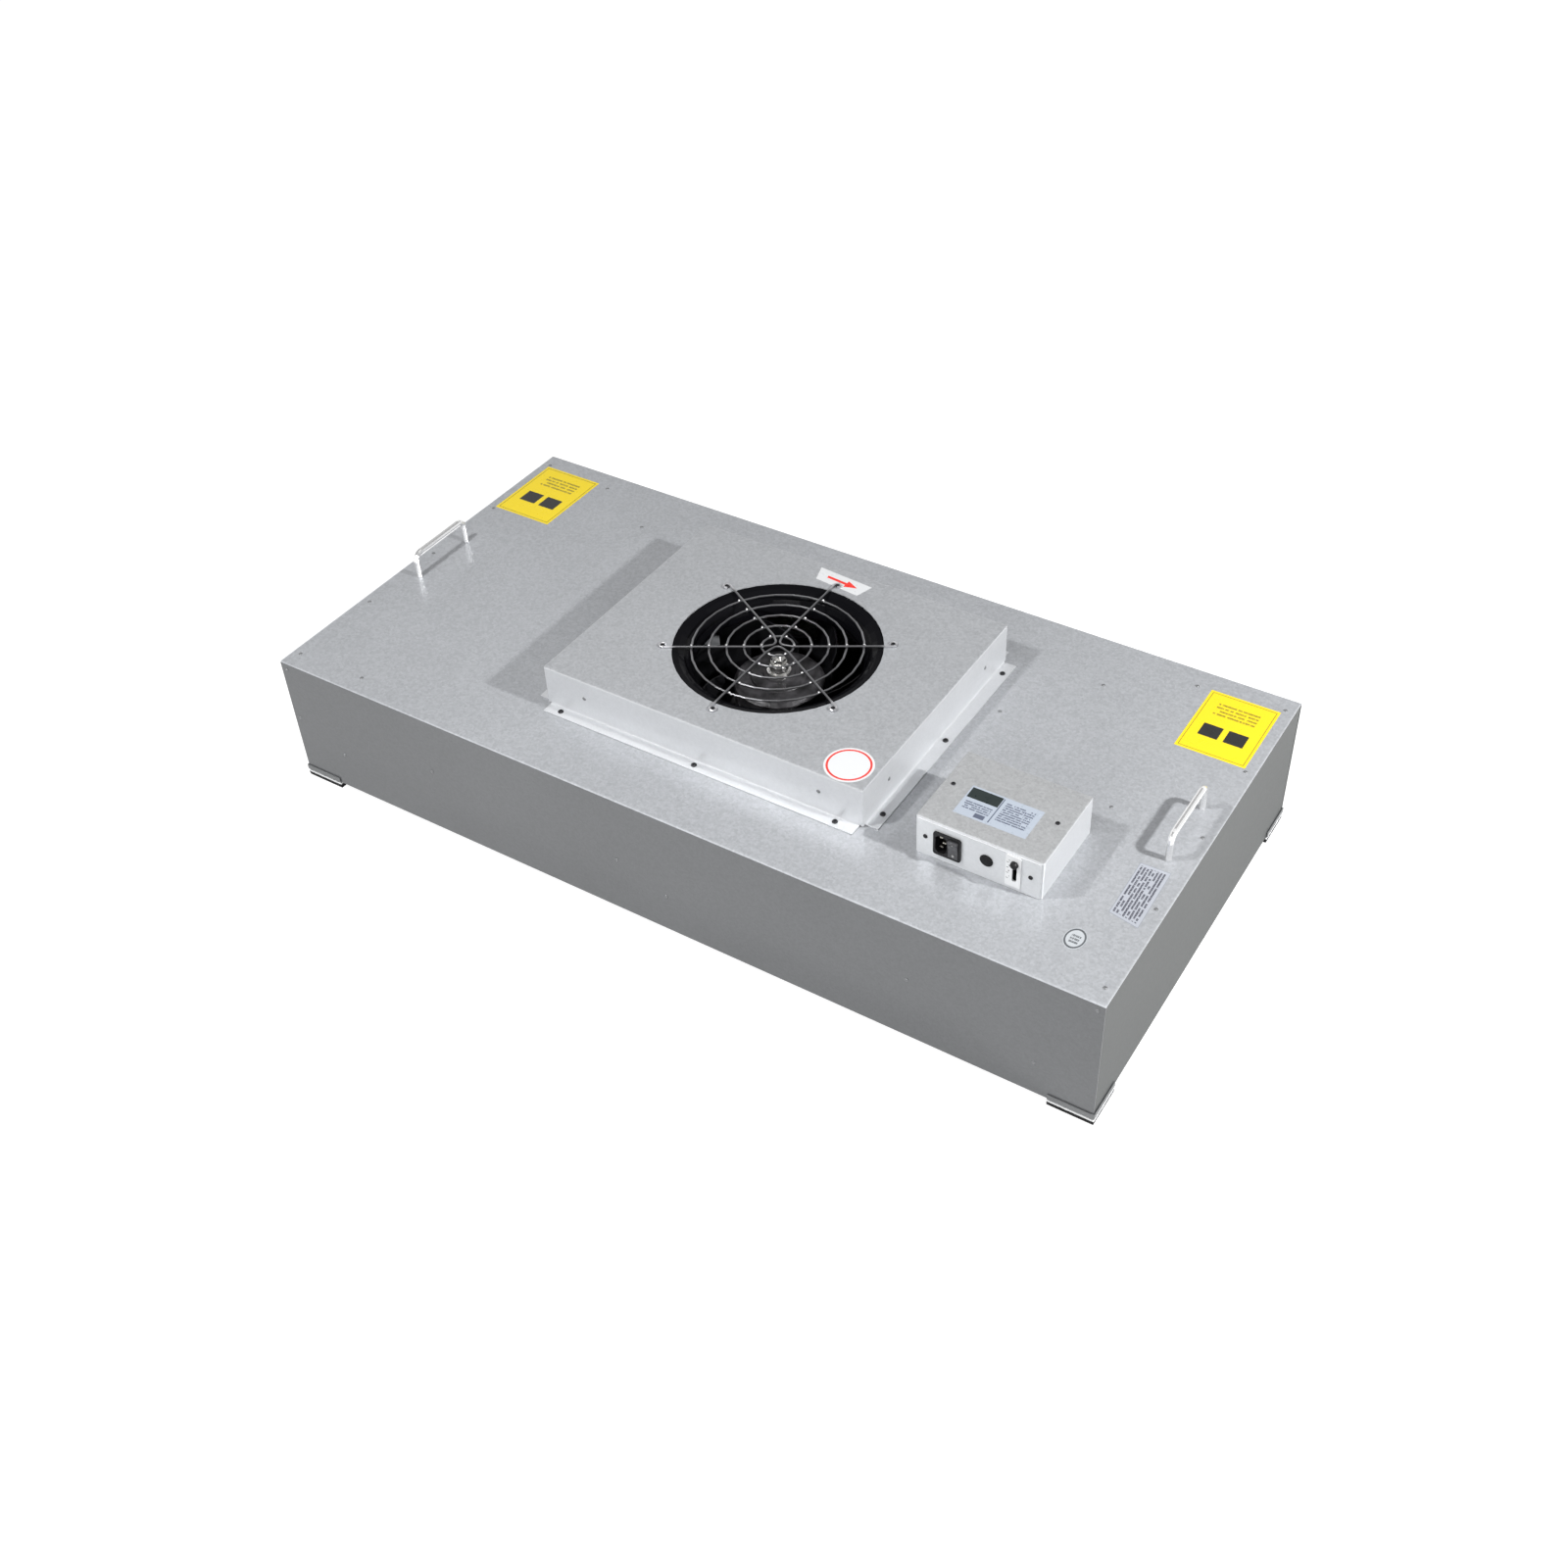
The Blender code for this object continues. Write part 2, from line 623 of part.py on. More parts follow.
def housing(steel, bracket_steel, foot_rubber):
    """Wrap, end panels, corner brackets and corner feet."""
    side = HOUSING_WIDTH / 2 - HOUSING_SHEET / 2
    roof = HOUSING_TOP - HOUSING_SHEET / 2
    bend = FOLD_RADIUS + HOUSING_SHEET / 2
    path = [
        (-side, HOUSING_BOTTOM),
        (-side, roof, bend),
        (side, roof, bend),
        (side, HOUSING_BOTTOM),
    ]
    half = HOUSING_LENGTH / 2
    wrap = put("housing_wrap", folded_strip("housing_wrap", path, HOUSING_SHEET, -half, half, "YZ"), steel)
    opening = rounded_rectangle((0, 0), 2 * OPENING_HALF_X, 2 * OPENING_HALF_Y, OPENING_CORNER, 2)
    opening = prism("cut_fan_opening", opening, TOP_UNDERSIDE - CUT_REACH, HOUSING_TOP + CUT_REACH)
    cut(wrap, put("cut_fan_opening", opening, None))
    entry = turned("cut_cable_entry", cylinder_outline(GROMMET_HOLE_RADIUS, -CUT_REACH, CUT_REACH), 16)
    cut(wrap, put("cut_cable_entry", entry, None, (GROMMET_X, GROMMET_Y, HOUSING_TOP)))

    roof_half = (TOP_UNDERSIDE - SEAM - HOUSING_BOTTOM) / 2
    for name, sign in (("end_panel_left", -1), ("end_panel_right", 1)):
        depths = (END_FLANGE, END_FLANGE, 0.0, END_FLANGE)
        folds = (depths, END_NOTCH, HOUSING_SHEET, FOLD_RADIUS)
        panel = flanged_plate(name, roof_half, TRAY_HALF, *folds, steel)
        turn = Matrix(((0, 0, sign, 0), (0, -sign, 0, 0), (1, 0, 0, 0), (0, 0, 0, 1)))
        panel.matrix_world = Matrix.Translation((sign * END_FACE, 0, HOUSING_BOTTOM + roof_half)) @ turn

    outer = SEAM + BRACKET_SHEET
    under = BRACKET_TOP - BRACKET_SHEET
    bend_arc = arc((outer - BRACKET_BEND, under + BRACKET_BEND), BRACKET_BEND, 0, -90, 2)
    bracket = [(SEAM, BRACKET_TOP + BRACKET_UPSTAND), (outer, BRACKET_TOP + BRACKET_UPSTAND)]
    bracket += bend_arc + [(-BRACKET_SHELF, under), (-BRACKET_SHELF, BRACKET_TOP), (SEAM, BRACKET_TOP)]
    edge = FOOT_EDGE
    foot = arc((outer - edge, FOOT_HEIGHT - edge), edge, 90, 0, 2)
    heel = FOOT_INSET - BRACKET_SHELF
    foot += [(outer - FOOT_DRAFT, 0.0), (heel, 0.0), (heel, FOOT_HEIGHT)]
    half_x, half_y = HOUSING_LENGTH / 2, HOUSING_WIDTH / 2
    for number, (sx, sy) in enumerate(((-1, -1), (1, -1), (1, 1), (-1, 1)), 1):
        legs = (half_x, half_y, sx, sy, BRACKET_LEG_X, BRACKET_LEG_Y)
        name = f"corner_bracket_{number}"
        put(name, mitred_corner(name, bracket, *legs), bracket_steel)
        name = f"corner_foot_{number}"
        put(name, mitred_corner(name, foot, *legs), foot_rubber)


def cylinder_outline(radius, low, high):
    """Profile of a plain cylinder."""
    return [(0.0, high), (radius, high), (radius, low), (0.0, low)]


def ring_outline(inner, outer, low, high):
    """Profile of a plain ring."""
    return [(inner, high), (outer, high), (outer, low), (inner, low)]


def filter_unit(aluminium, paper, foam, guard_paint, steel, liner_foam):
    """Frame, pleated pack, gasket and face guard of the filter, the ledge above it and the wall liners."""
    half_x = LEDGE_HALF_X - FILTER_PLAY
    half_y = LEDGE_HALF_Y - FILTER_PLAY
    wall, lip = FRAME_WALL, FRAME_FLANGE
    low, high = HOUSING_BOTTOM, FILTER_TOP
    channel = [
        (0, low), (0, high), (-lip, high), (-lip, high - wall),
        (-wall, high - wall), (-wall, low + wall), (-lip, low + wall), (-lip, low),
    ]
    put("filter_frame", mitred_ring("filter_frame", channel, half_x, half_y), aluminium)

    inside_x = half_x - FRAME_WALL - SEAM
    inside_y = half_y - FRAME_WALL - SEAM
    folds = 2 * int(round(2 * inside_x / PLEAT_PITCH)) + 1
    pitch = 2 * inside_x / (folds - 1)
    middle = (low + high) / 2
    lean = math.atan2(pitch, PLEAT_DEPTH)
    rise = PLEAT_SHEET / 2 / math.sin(lean)
    vertices = []
    for i in range(folds):
        x = -inside_x + pitch * i
        z = middle + (PLEAT_DEPTH / 2 if i % 2 else -PLEAT_DEPTH / 2)
        for y in (-inside_y, inside_y):
            vertices += [Vector((x, y, z - rise)), Vector((x, y, z + rise))]
    faces = [(0, 1, 3, 2), tuple(4 * (folds - 1) + k for k in (0, 2, 3, 1))]
    for i in range(folds - 1):
        a, b = 4 * i, 4 * i + 4
        faces += [(a, b, b + 1, a + 1), (a + 2, a + 3, b + 3, b + 2)]
        faces += [(a, a + 2, b + 2, b), (a + 1, b + 1, b + 3, a + 3)]
    put("filter_pack", closed_mesh("filter_pack", vertices, faces), paper)

    rim = [(-GASKET_WIDTH, GASKET_BOTTOM), (0, GASKET_BOTTOM), (0, GASKET_BOTTOM + GASKET_HEIGHT)]
    rim += [(-GASKET_WIDTH, GASKET_BOTTOM + GASKET_HEIGHT)]
    rim_x, rim_y = half_x - GASKET_INSET, half_y - GASKET_INSET
    put("filter_gasket", mitred_ring("filter_gasket", rim, rim_x, rim_y), foam)

    shelf = [
        (0, LEDGE_BOTTOM), (0, LEDGE_BOTTOM + LEDGE_WALL), (-LEDGE_SHEET, LEDGE_BOTTOM + LEDGE_WALL),
        (-LEDGE_SHEET, LEDGE_BOTTOM + LEDGE_SHEET), (-LEDGE_SHELF, LEDGE_BOTTOM + LEDGE_SHEET),
        (-LEDGE_SHELF, LEDGE_BOTTOM),
    ]
    put("seal_ledge", mitred_ring("seal_ledge", shelf, LEDGE_HALF_X, LEDGE_HALF_Y), steel)

    guard_low = low + FRAME_WALL + SEAM
    put("face_guard", lattice("face_guard", inside_x, inside_y, guard_low), guard_paint)

    base = LEDGE_BOTTOM + LEDGE_WALL + SEAM
    reach = END_FACE - END_FLANGE - SEAM
    outer_y = WALL_INNER - SEAM
    roof = TOP_UNDERSIDE - FOLD_RADIUS
    end_roof = TOP_UNDERSIDE - SEAM - HOUSING_SHEET - SEAM
    for name, sign in (("liner_front", -1), ("liner_back", 1)):
        near, far = sorted((sign * outer_y, sign * (outer_y - LINER)))
        put(name, block(name, (-reach, near, base), (reach, far, roof)), liner_foam)
    end_half = outer_y - LINER - SEAM
    for name, sign in (("liner_left", -1), ("liner_right", 1)):
        near, far = sorted((sign * LEDGE_HALF_X, sign * (LEDGE_HALF_X - LINER)))
        put(name, block(name, (near, -end_half, base), (far, end_half, end_roof)), liner_foam)


def lattice(name, half_x, half_y, low):
    """A flat grid of crossing bars in one piece: square windows left open in a sheet."""
    def lines(half, windows):
        window = (2 * half - GUARD_BAR) / windows - GUARD_BAR
        marks = []
        for i in range(windows + 1):
            start = -half + i * (window + GUARD_BAR)
            marks += [start, start + GUARD_BAR]
        return marks
    xs, ys = lines(half_x, GUARD_BARS_X), lines(half_y, GUARD_BARS_Y)
    shell = bmesh.new()
    grid = [[shell.verts.new((x, y, low)) for y in ys] for x in xs]
    for i in range(len(xs) - 1):
        for j in range(len(ys) - 1):
            if i % 2 == 0 or j % 2 == 0:
                shell.faces.new((grid[i][j], grid[i + 1][j], grid[i + 1][j + 1], grid[i][j + 1]))
    raised = bmesh.ops.extrude_face_region(shell, geom=shell.faces[:])
    top = [item for item in raised["geom"] if isinstance(item, bmesh.types.BMVert)]
    bmesh.ops.translate(shell, verts=top, vec=(0, 0, GUARD_SHEET))
    bmesh.ops.recalc_face_normals(shell, faces=shell.faces)
    mesh = bpy.data.meshes.new(name)
    shell.to_mesh(mesh)
    shell.free()
    return mesh


def inlet_box(steel):
    """Folded box over the fan opening: roof, four walls, and a screwed flange along each wall."""
    hx, hy = INLET_LENGTH / 2, INLET_WIDTH / 2
    foot = HOUSING_TOP + SEAM + INLET_SHEET
    corners = [Vector((sx * hx, sy * hy, 0)) for sx, sy in ((1, -1), (1, 1), (-1, 1), (-1, -1))]
    vertices = [corner + Vector((0, 0, INLET_TOP)) for corner in corners]
    vertices += [corner + Vector((0, 0, foot)) for corner in corners]
    faces = [(0, 1, 2, 3)]
    outward = (Vector((1, 0, 0)), Vector((0, 1, 0)), Vector((-1, 0, 0)), Vector((0, -1, 0)))
    for i in range(4):
        j = (i + 1) % 4
        along = (corners[j] - corners[i]).normalized()
        a = len(vertices)
        vertices += [vertices[4 + i] + along * INLET_NOTCH, vertices[4 + j] - along * INLET_NOTCH]
        vertices += [vertices[a] + outward[i] * INLET_FLANGE, vertices[a + 1] + outward[i] * INLET_FLANGE]
        faces.append((i, 4 + i, a, a + 1, 4 + j, j))
        faces.append((a, a + 2, a + 3, a + 1))
    box = sheet_piece("inlet_box", vertices, faces, INLET_SHEET, FOLD_RADIUS, steel)
    hole = turned("cut_inlet", cylinder_outline(INLET_HOLE_RADIUS, -CUT_REACH, CUT_REACH), 48)
    cut(box, put("cut_inlet", hole, None, (0, 0, INLET_TOP)))


def inlet_ring(black_paint):
    """Bell mouth: a flat flange under the inlet box's roof that turns down into the throat."""
    centre = (BELL_LIP_RADIUS, BELL_TOP - BELL_RADIUS)
    inner = arc(centre, BELL_RADIUS, 90, 180, 5)
    outer = arc(centre, BELL_RADIUS - BELL_SHEET, 180, 90, 5)
    outline = [(BELL_FLANGE_RADIUS, BELL_TOP)] + inner + [(THROAT_RADIUS, BELL_END)]
    outline += [(THROAT_RADIUS + BELL_SHEET, BELL_END)] + outer
    outline += [(BELL_FLANGE_RADIUS, BELL_TOP - BELL_SHEET)]
    put("inlet_ring", turned("inlet_ring", outline, 40), black_paint)


def finger_guard(bright_wire):
    """Five wire rings welded under three hairpins, whose bent eyes are screwed to the inlet box's roof."""
    spoke_z = INLET_TOP + SEAM + GUARD_WIRE
    ring_z = spoke_z - 2 * GUARD_WIRE + GUARD_WELD
    guard = None
    for i in range(GUARD_RINGS):
        radius = GUARD_FIRST_RING + i * GUARD_RING_PITCH
        circle = arc((0.0, 0.0), radius, 0, 360, 16 + 4 * i)[:-1]
        points = [Vector((x, y, ring_z)) for x, y in circle]
        name = "finger_guard" if i == 0 else f"join_guard_ring_{i}"
        ring = put(name, wire(name, points, GUARD_WIRE, 6, closed=True), bright_wire if i == 0 else None)
        if guard is None:
            guard = ring
        else:
            join(guard, ring)
    for i in range(GUARD_HAIRPINS):
        middle = math.radians(180.0 + 120.0 * i)
        name = f"join_guard_hairpin_{i + 1}"
        join(guard, put(name, wire(name, hairpin(middle, spoke_z), GUARD_WIRE, 6), None))


def hairpin(middle, z):
    """Path of one hairpin: eye, spoke, bend near the middle of the guard, spoke, eye."""
    half = math.radians(30.0)
    legs = []
    for side in (-1, 1):
        angle = middle + side * half
        out = Vector((math.cos(angle), math.sin(angle), 0))
        across = Vector((-math.sin(angle), math.cos(angle), 0)) * side
        eye = out * GUARD_SCREW_CIRCLE + Vector((0, 0, z))
        leg = []
        for k in range(7):
            turn = math.radians(90.0) + EYE_TURN * (6 - k) / 6
            leg.append(eye + (across * math.sin(turn) - out * math.cos(turn)) * GUARD_EYE_RADIUS)
        leg.append(out * GUARD_LEG_START + across * GUARD_EYE_RADIUS + Vector((0, 0, z)))
        legs.append(leg)
    towards = Vector((math.cos(middle), math.sin(middle), 0))
    sideways = Vector((-math.sin(middle), math.cos(middle), 0))
    bend = []
    centre = towards * GUARD_BEND_OUT + Vector((0, 0, z))
    for k in range(1, 6):
        angle = HAIRPIN_TURN * (k / 3 - 1)
        bend.append(centre - towards * GUARD_BEND * math.cos(angle) + sideways * GUARD_BEND * math.sin(angle))
    return legs[0] + bend + legs[1][::-1]


def fan(wheel_paint, rotor_paint, bright_steel, stator_metal, copper, bearing_steel, steel):
    """Motor plate on its hangers, the motor and the impeller."""
    hx = OPENING_HALF_X - PLATE_PLAY
    hy = OPENING_HALF_Y - PLATE_PLAY
    folds = ((PLATE_FLANGE,) * 4, PLATE_NOTCH, PLATE_SHEET, FOLD_RADIUS)
    plate = flanged_plate("motor_plate", hx, hy, *folds, steel)
    plate.location = (0, 0, PLATE_TOP)
    middle = HANGER_SHEET / 2
    post = hy - SEAM - middle
    low = PLATE_TOP + SEAM + middle
    high = BELL_TOP - middle
    number = 0
    for sx in (-1, 1):
        for sy in (-1, 1):
            number += 1
            path = [
                (sy * (post - HANGER_FOOT), low),
                (sy * post, low, HANGER_BEND),
                (sy * post, high, HANGER_BEND),
                (sy * (post - HANGER_FOOT), high),
            ]
            ends = (sx * HANGER_X - HANGER_WIDTH / 2, sx * HANGER_X + HANGER_WIDTH / 2)
            name = f"hanger_{number}"
            put(name, folded_strip(name, path, HANGER_SHEET, *ends, "YZ", 2), steel)
    motor(rotor_paint, bright_steel, stator_metal, copper, bearing_steel)
    impeller(wheel_paint)


def motor(rotor_paint, bright_steel, stator_metal, copper, bearing_steel):
    """Outer rotor motor: flanged stator on the plate, rotor cup round it, shaft in two bearings."""
    flange_top = STATOR_BOTTOM + STATOR_FLANGE
    rotor_roof = ROTOR_FACE + ROTOR_DISH
    core_radius = ROTOR_RADIUS - ROTOR_WALL - AIR_GAP
    core_low = WHEEL_FLOOR + WINDING_HEIGHT + CORE_LIFT
    core_high = core_low + CORE_HEIGHT
    hub_high = core_high + WINDING_HEIGHT + WINDING_ROOM
    neck_high = core_low - WINDING_HEIGHT - WINDING_ROOM
    hub_radius = WINDING_INNER_RADIUS - SEAM
    bore = BEARING_RADIUS + SEAM
    shelf = bore - BEARING_SHELF
    seat_low = STATOR_BOTTOM + BEARING_WIDTH + SEAM
    seat_high = hub_high - BEARING_WIDTH - SEAM
    stator = [
        (STATOR_FLANGE_RADIUS, STATOR_BOTTOM), (STATOR_FLANGE_RADIUS, flange_top),
        (STATOR_NECK_RADIUS, flange_top), (STATOR_NECK_RADIUS, neck_high),
        (hub_radius, neck_high), (hub_radius, core_low), (core_radius, core_low), (core_radius, core_high),
        (hub_radius, core_high), (hub_radius, hub_high), (bore, hub_high), (bore, seat_high),
        (shelf, seat_high), (shelf, seat_low), (bore, seat_low), (bore, STATOR_BOTTOM),
    ]
    put("motor_stator", turned("motor_stator", stator, 24), stator_metal)
    coil_height = WINDING_HEIGHT - 2 * SEAM
    round_off = WINDING_ROUND
    for name, low in (("winding_lower", core_low - SEAM - coil_height), ("winding_upper", core_high + SEAM)):
        high = low + coil_height
        coil = arc((WINDING_OUTER_RADIUS - round_off, high - round_off), round_off, 90, 0, 1)
        coil += arc((WINDING_OUTER_RADIUS - round_off, low + round_off), round_off, 0, -90, 1)
        coil = [(WINDING_INNER_RADIUS, high)] + coil + [(WINDING_INNER_RADIUS, low)]
        put(name, turned(name, coil, 24), copper)
    for name, low in (("bearing_lower", STATOR_BOTTOM), ("bearing_upper", hub_high - BEARING_WIDTH)):
        race = ring_outline(SHAFT_RADIUS + SEAM, BEARING_RADIUS, low, low + BEARING_WIDTH)
        put(name, turned(name, race, 20), bearing_steel)

    wall = ROTOR_WALL
    skirt_low = WHEEL_FLOOR + SEAM
    hub = SHAFT_RADIUS + SEAM
    outer = [
        (hub, rotor_roof), (ROTOR_HUB_RADIUS, rotor_roof),
        (ROTOR_HUB_RADIUS + ROTOR_GROOVE, rotor_roof - ROTOR_HUB_DROP),
        (ROTOR_STEP_RADIUS, rotor_roof - ROTOR_STEP_DROP),
        (ROTOR_STEP_RADIUS + ROTOR_GROOVE, rotor_roof - ROTOR_RIM_DROP),
        (ROTOR_RADIUS - ROTOR_CORNER_RUN, ROTOR_FACE), (ROTOR_RADIUS, ROTOR_FACE - ROTOR_CORNER_DROP),
        (ROTOR_RADIUS, skirt_low + ROTOR_FLANGE), (ROTOR_FLANGE_RADIUS, skirt_low + ROTOR_FLANGE),
        (ROTOR_FLANGE_RADIUS, skirt_low), (ROTOR_RADIUS - wall, skirt_low),
        (ROTOR_RADIUS - wall, ROTOR_FACE - 2 * wall), (hub, rotor_roof - 3 * wall),
    ]
    put("motor_rotor", turned("motor_rotor", outer, 36), rotor_paint)

    boss_low = rotor_roof + SEAM
    boss_high = boss_low + BOSS_HEIGHT
    centre_low = boss_high - BOSS_CENTRE_DEPTH
    foot_radius, foot_high = BOSS_RADIUS + BOSS_FOOT, boss_low + BOSS_FOOT
    shaft = [
        (0.0, centre_low), (BOSS_CENTRE_RADIUS, centre_low),
        (BOSS_CENTRE_RADIUS + BOSS_CENTRE_SLOPE, boss_high), (BOSS_RADIUS - BOSS_CHAMFER, boss_high),
        (BOSS_RADIUS, boss_high - BOSS_CHAMFER), (BOSS_RADIUS, foot_high + BOSS_FOOT_SLOPE),
        (foot_radius, foot_high), (foot_radius, boss_low), (SHAFT_RADIUS, boss_low),
        (SHAFT_RADIUS, STATOR_BOTTOM + SHAFT_LIFT), (0.0, STATOR_BOTTOM + SHAFT_LIFT),
    ]
    put("motor_shaft", turned("motor_shaft", shaft, 20), bright_steel)


def impeller(wheel_paint):
    """Back plate, backward-curved blades and curved shroud, riveted into one wheel."""
    steps = 36
    back = ring_outline(ROTOR_RADIUS + SEAM, WHEEL_RADIUS, WHEEL_BOTTOM, WHEEL_FLOOR)
    wheel = put("impeller", turned("impeller", back, steps), wheel_paint)
    lip_low = EYE_TOP - EYE_LIP
    span = WHEEL_RADIUS - EYE_RADIUS
    fall = lip_low - SHROUD_BOTTOM

    def shroud_curve(offset, count=6):
        """Quarter ellipse from the eye down to the rim, moved outwards by an offset."""
        points = []
        for k in range(count + 1):
            angle = math.pi / 2 * k / count
            points.append((
                WHEEL_RADIUS - (span - offset) * math.cos(angle),
                lip_low - (fall - offset) * math.sin(angle),
            ))
        return points

    upper = shroud_curve(WHEEL_SHEET)
    lower = shroud_curve(0.0)
    shroud = [(EYE_RADIUS, EYE_TOP), (EYE_RADIUS + WHEEL_SHEET, EYE_TOP)] + upper + lower[::-1]
    shroud_piece = put("join_shroud", turned("join_shroud", shroud, steps), None)
    passage = shroud_curve(WHEEL_SHEET / 2)
    inner_top = WHEEL_FLOOR + BLADE_INNER_HEIGHT
    eye_top = WHEEL_FLOOR + BLADE_EYE_HEIGHT
    floor_middle = WHEEL_FLOOR - WHEEL_SHEET / 2
    inner_radius = BLADE_INNER_RADIUS - CUT_REACH
    trim = [(inner_radius, floor_middle), (inner_radius, inner_top), (EYE_RADIUS + WHEEL_SHEET / 2, eye_top)]
    trim += [point for point in passage if point[1] < eye_top]
    trim += [(WHEEL_RADIUS, floor_middle)]
    trim_piece = put("trim_blades", turned("trim_blades", trim, steps), None)
    for number in range(BLADES):
        name = f"join_blade_{number + 1}"
        blade = put(name, prism(name, blade_section(), WHEEL_BOTTOM - CUT_REACH, EYE_TOP), None)
        blade.rotation_euler = (0, 0, 2 * math.pi * number / BLADES)
        boolean(blade, trim_piece, "INTERSECT")
        join(wheel, blade)
    join(wheel, shroud_piece)


def blade_section():
    """Plan of one blade: a curved sheet that trails behind as it runs outwards."""
    stations = BLADE_STATIONS
    camber = []
    for i in range(stations):
        share = i / (stations - 1)
        radius = BLADE_INNER_RADIUS + (BLADE_OUTER_RADIUS - BLADE_INNER_RADIUS) * share
        angle = BLADE_SWEEP * (1.0 - (1.0 - share) ** BLADE_CURVE)
        camber.append(Vector((radius * math.cos(angle), radius * math.sin(angle))))
    sides = ([], [])
    for i, point in enumerate(camber):
        along = (camber[min(i + 1, stations - 1)] - camber[max(i - 1, 0)]).normalized()
        normal = Vector((-along.y, along.x)) * BLADE_SHEET / 2
        sides[0].append(point + normal)
        sides[1].append(point - normal)
    return [(p.x, p.y) for p in sides[0] + sides[1][::-1]]


def handles(bright_steel, dark_steel):
    """Two bow handles on the top sheet and the screws that hold them from below."""
    foot = HOUSING_TOP + SEAM
    half = HANDLE_SPAN / 2
    corner = half - HANDLE_BEND
    for name, sign in (("handle_left", -1), ("handle_right", 1)):
        x = sign * HANDLE_X
        path = [(-half, foot)]
        path += arc((-corner, foot + HANDLE_RISE - HANDLE_BEND), HANDLE_BEND, 180, 90, 4)
        path += arc((corner, foot + HANDLE_RISE - HANDLE_BEND), HANDLE_BEND, 90, 0, 4)
        path += [(half, foot)]
        points = [Vector((x, HANDLE_Y + y, z)) for y, z in path]
        put(name, bow(name, points, HANDLE_ROD, 10), bright_steel)
        for end, side in (("front", -1), ("back", 1)):
            screw = f"{name}_screw_{end}"
            high = TOP_UNDERSIDE - SEAM
            head = cylinder_outline(HANDLE_SCREW_RADIUS, high - HANDLE_SCREW_HEIGHT, high)
            put(screw, turned(screw, head, 12), dark_steel, (x, HANDLE_Y + side * half, 0))


def bow(name, points, radius, sides):
    """A round rod bent in a plane of constant X."""
    count = len(points)
    across = Vector((1.0, 0.0, 0.0))
    vertices = []
    for i, point in enumerate(points):
        before, after = points[max(i - 1, 0)], points[min(i + 1, count - 1)]
        along = (after - before).normalized()
        normal = across.cross(along)
        if i in (0, count - 1):
            normal = Vector((0.0, 1.0 if normal.y > 0 else -1.0, 0.0))
        for k in range(sides):
            angle = 2 * math.pi * k / sides
            vertices.append(point + across * math.cos(angle) * radius + normal * math.sin(angle) * radius)
    faces = [tuple(range(sides)), tuple(range(sides * (count - 1), sides * count))]
    for i in range(count - 1):
        a, b = sides * i, sides * (i + 1)
        faces += [(a + k, a + (k + 1) % sides, b + (k + 1) % sides, b + k) for k in range(sides)]
    return closed_mesh(name, vertices, faces)


def electric_box(steel):
    """Folded cover with a front window, the panel in front of it and the strip that carries both."""
    x0, x1 = BOX_X - BOX_LENGTH / 2, BOX_X + BOX_LENGTH / 2
    corners = [Vector((x1, COVER_FRONT, 0)), Vector((x1, COVER_BACK, 0)), Vector((x0, COVER_BACK, 0))]
    corners.append(Vector((x0, COVER_FRONT, 0)))
    vertices = [corner + Vector((0, 0, BOX_TOP)) for corner in corners]
    vertices += [corner + Vector((0, 0, BOX_BOTTOM)) for corner in corners]
    faces = [(0, 1, 2, 3), (0, 4, 5, 1), (1, 5, 6, 2), (2, 6, 7, 3), (3, 7, 4, 0)]
    cover = sheet_piece("control_cover", vertices, faces, BOX_SHEET, FOLD_RADIUS, steel)
    rim = BOX_FRONT_RIM
    window_low = (x0 + rim, COVER_FRONT - CUT_REACH, BOX_BOTTOM - CUT_REACH)
    window_high = (x1 - rim, COVER_FRONT + CUT_REACH, BOX_TOP - rim / 2)
    cut(cover, put("cut_window", block("cut_window", window_low, window_high), None))

    low = (x0 + PANEL_RIM, BOX_FRONT, BOX_BOTTOM)
    high = (x1 - PANEL_RIM, PANEL_BACK, BOX_TOP - PANEL_RIM)
    panel = put("control_panel", block("control_panel", low, high), steel)
    module_size = (MODULE_LENGTH + 2 * SEAM, MODULE_HEIGHT + 2 * SEAM)
    module = rounded_rectangle(module_centre(), *module_size, MODULE_CORNER, 1)
    cut(panel, panel_tool("cut_module", module))
    plug = arc((PLUG_X, HOUSING_TOP + PLUG_Z), PLUG_BARREL_RADIUS + SEAM, 0, 360, 16)[:-1]
    cut(panel, panel_tool("cut_plug", plug))
    cut(panel, panel_tool("cut_slot", speed_slot()))

    top = BOX_TOP - BOX_SHEET - SEAM - STRIP_SHEET / 2
    base = BOX_BOTTOM + STRIP_SHEET / 2
    left = x0 + BOX_SHEET + SEAM + STRIP_SHEET / 2
    right = x1 - BOX_SHEET - SEAM - STRIP_SHEET / 2
    bend = STRIP_BEND
    path = [
        (left + STRIP_TAB, top), (left, top, bend), (left, base, bend), (right, base, bend),
        (right, top, bend), (right - STRIP_TAB, top),
    ]
    ends = (STRIP_Y - STRIP_WIDTH / 2, STRIP_Y + STRIP_WIDTH / 2)
    put("control_bracket", folded_strip("control_bracket", path, STRIP_SHEET, *ends, "XZ", 2), steel)


def module_centre():
    """Middle of the power inlet on the panel."""
    return (INLET_MODULE_X, HOUSING_TOP + INLET_MODULE_Z)


def panel_tool(name, outline):
    """A tool that passes through the panel."""
    return put(name, prism(name, outline, BOX_FRONT - CUT_REACH, PANEL_BACK + CUT_REACH, "XZ"), None)


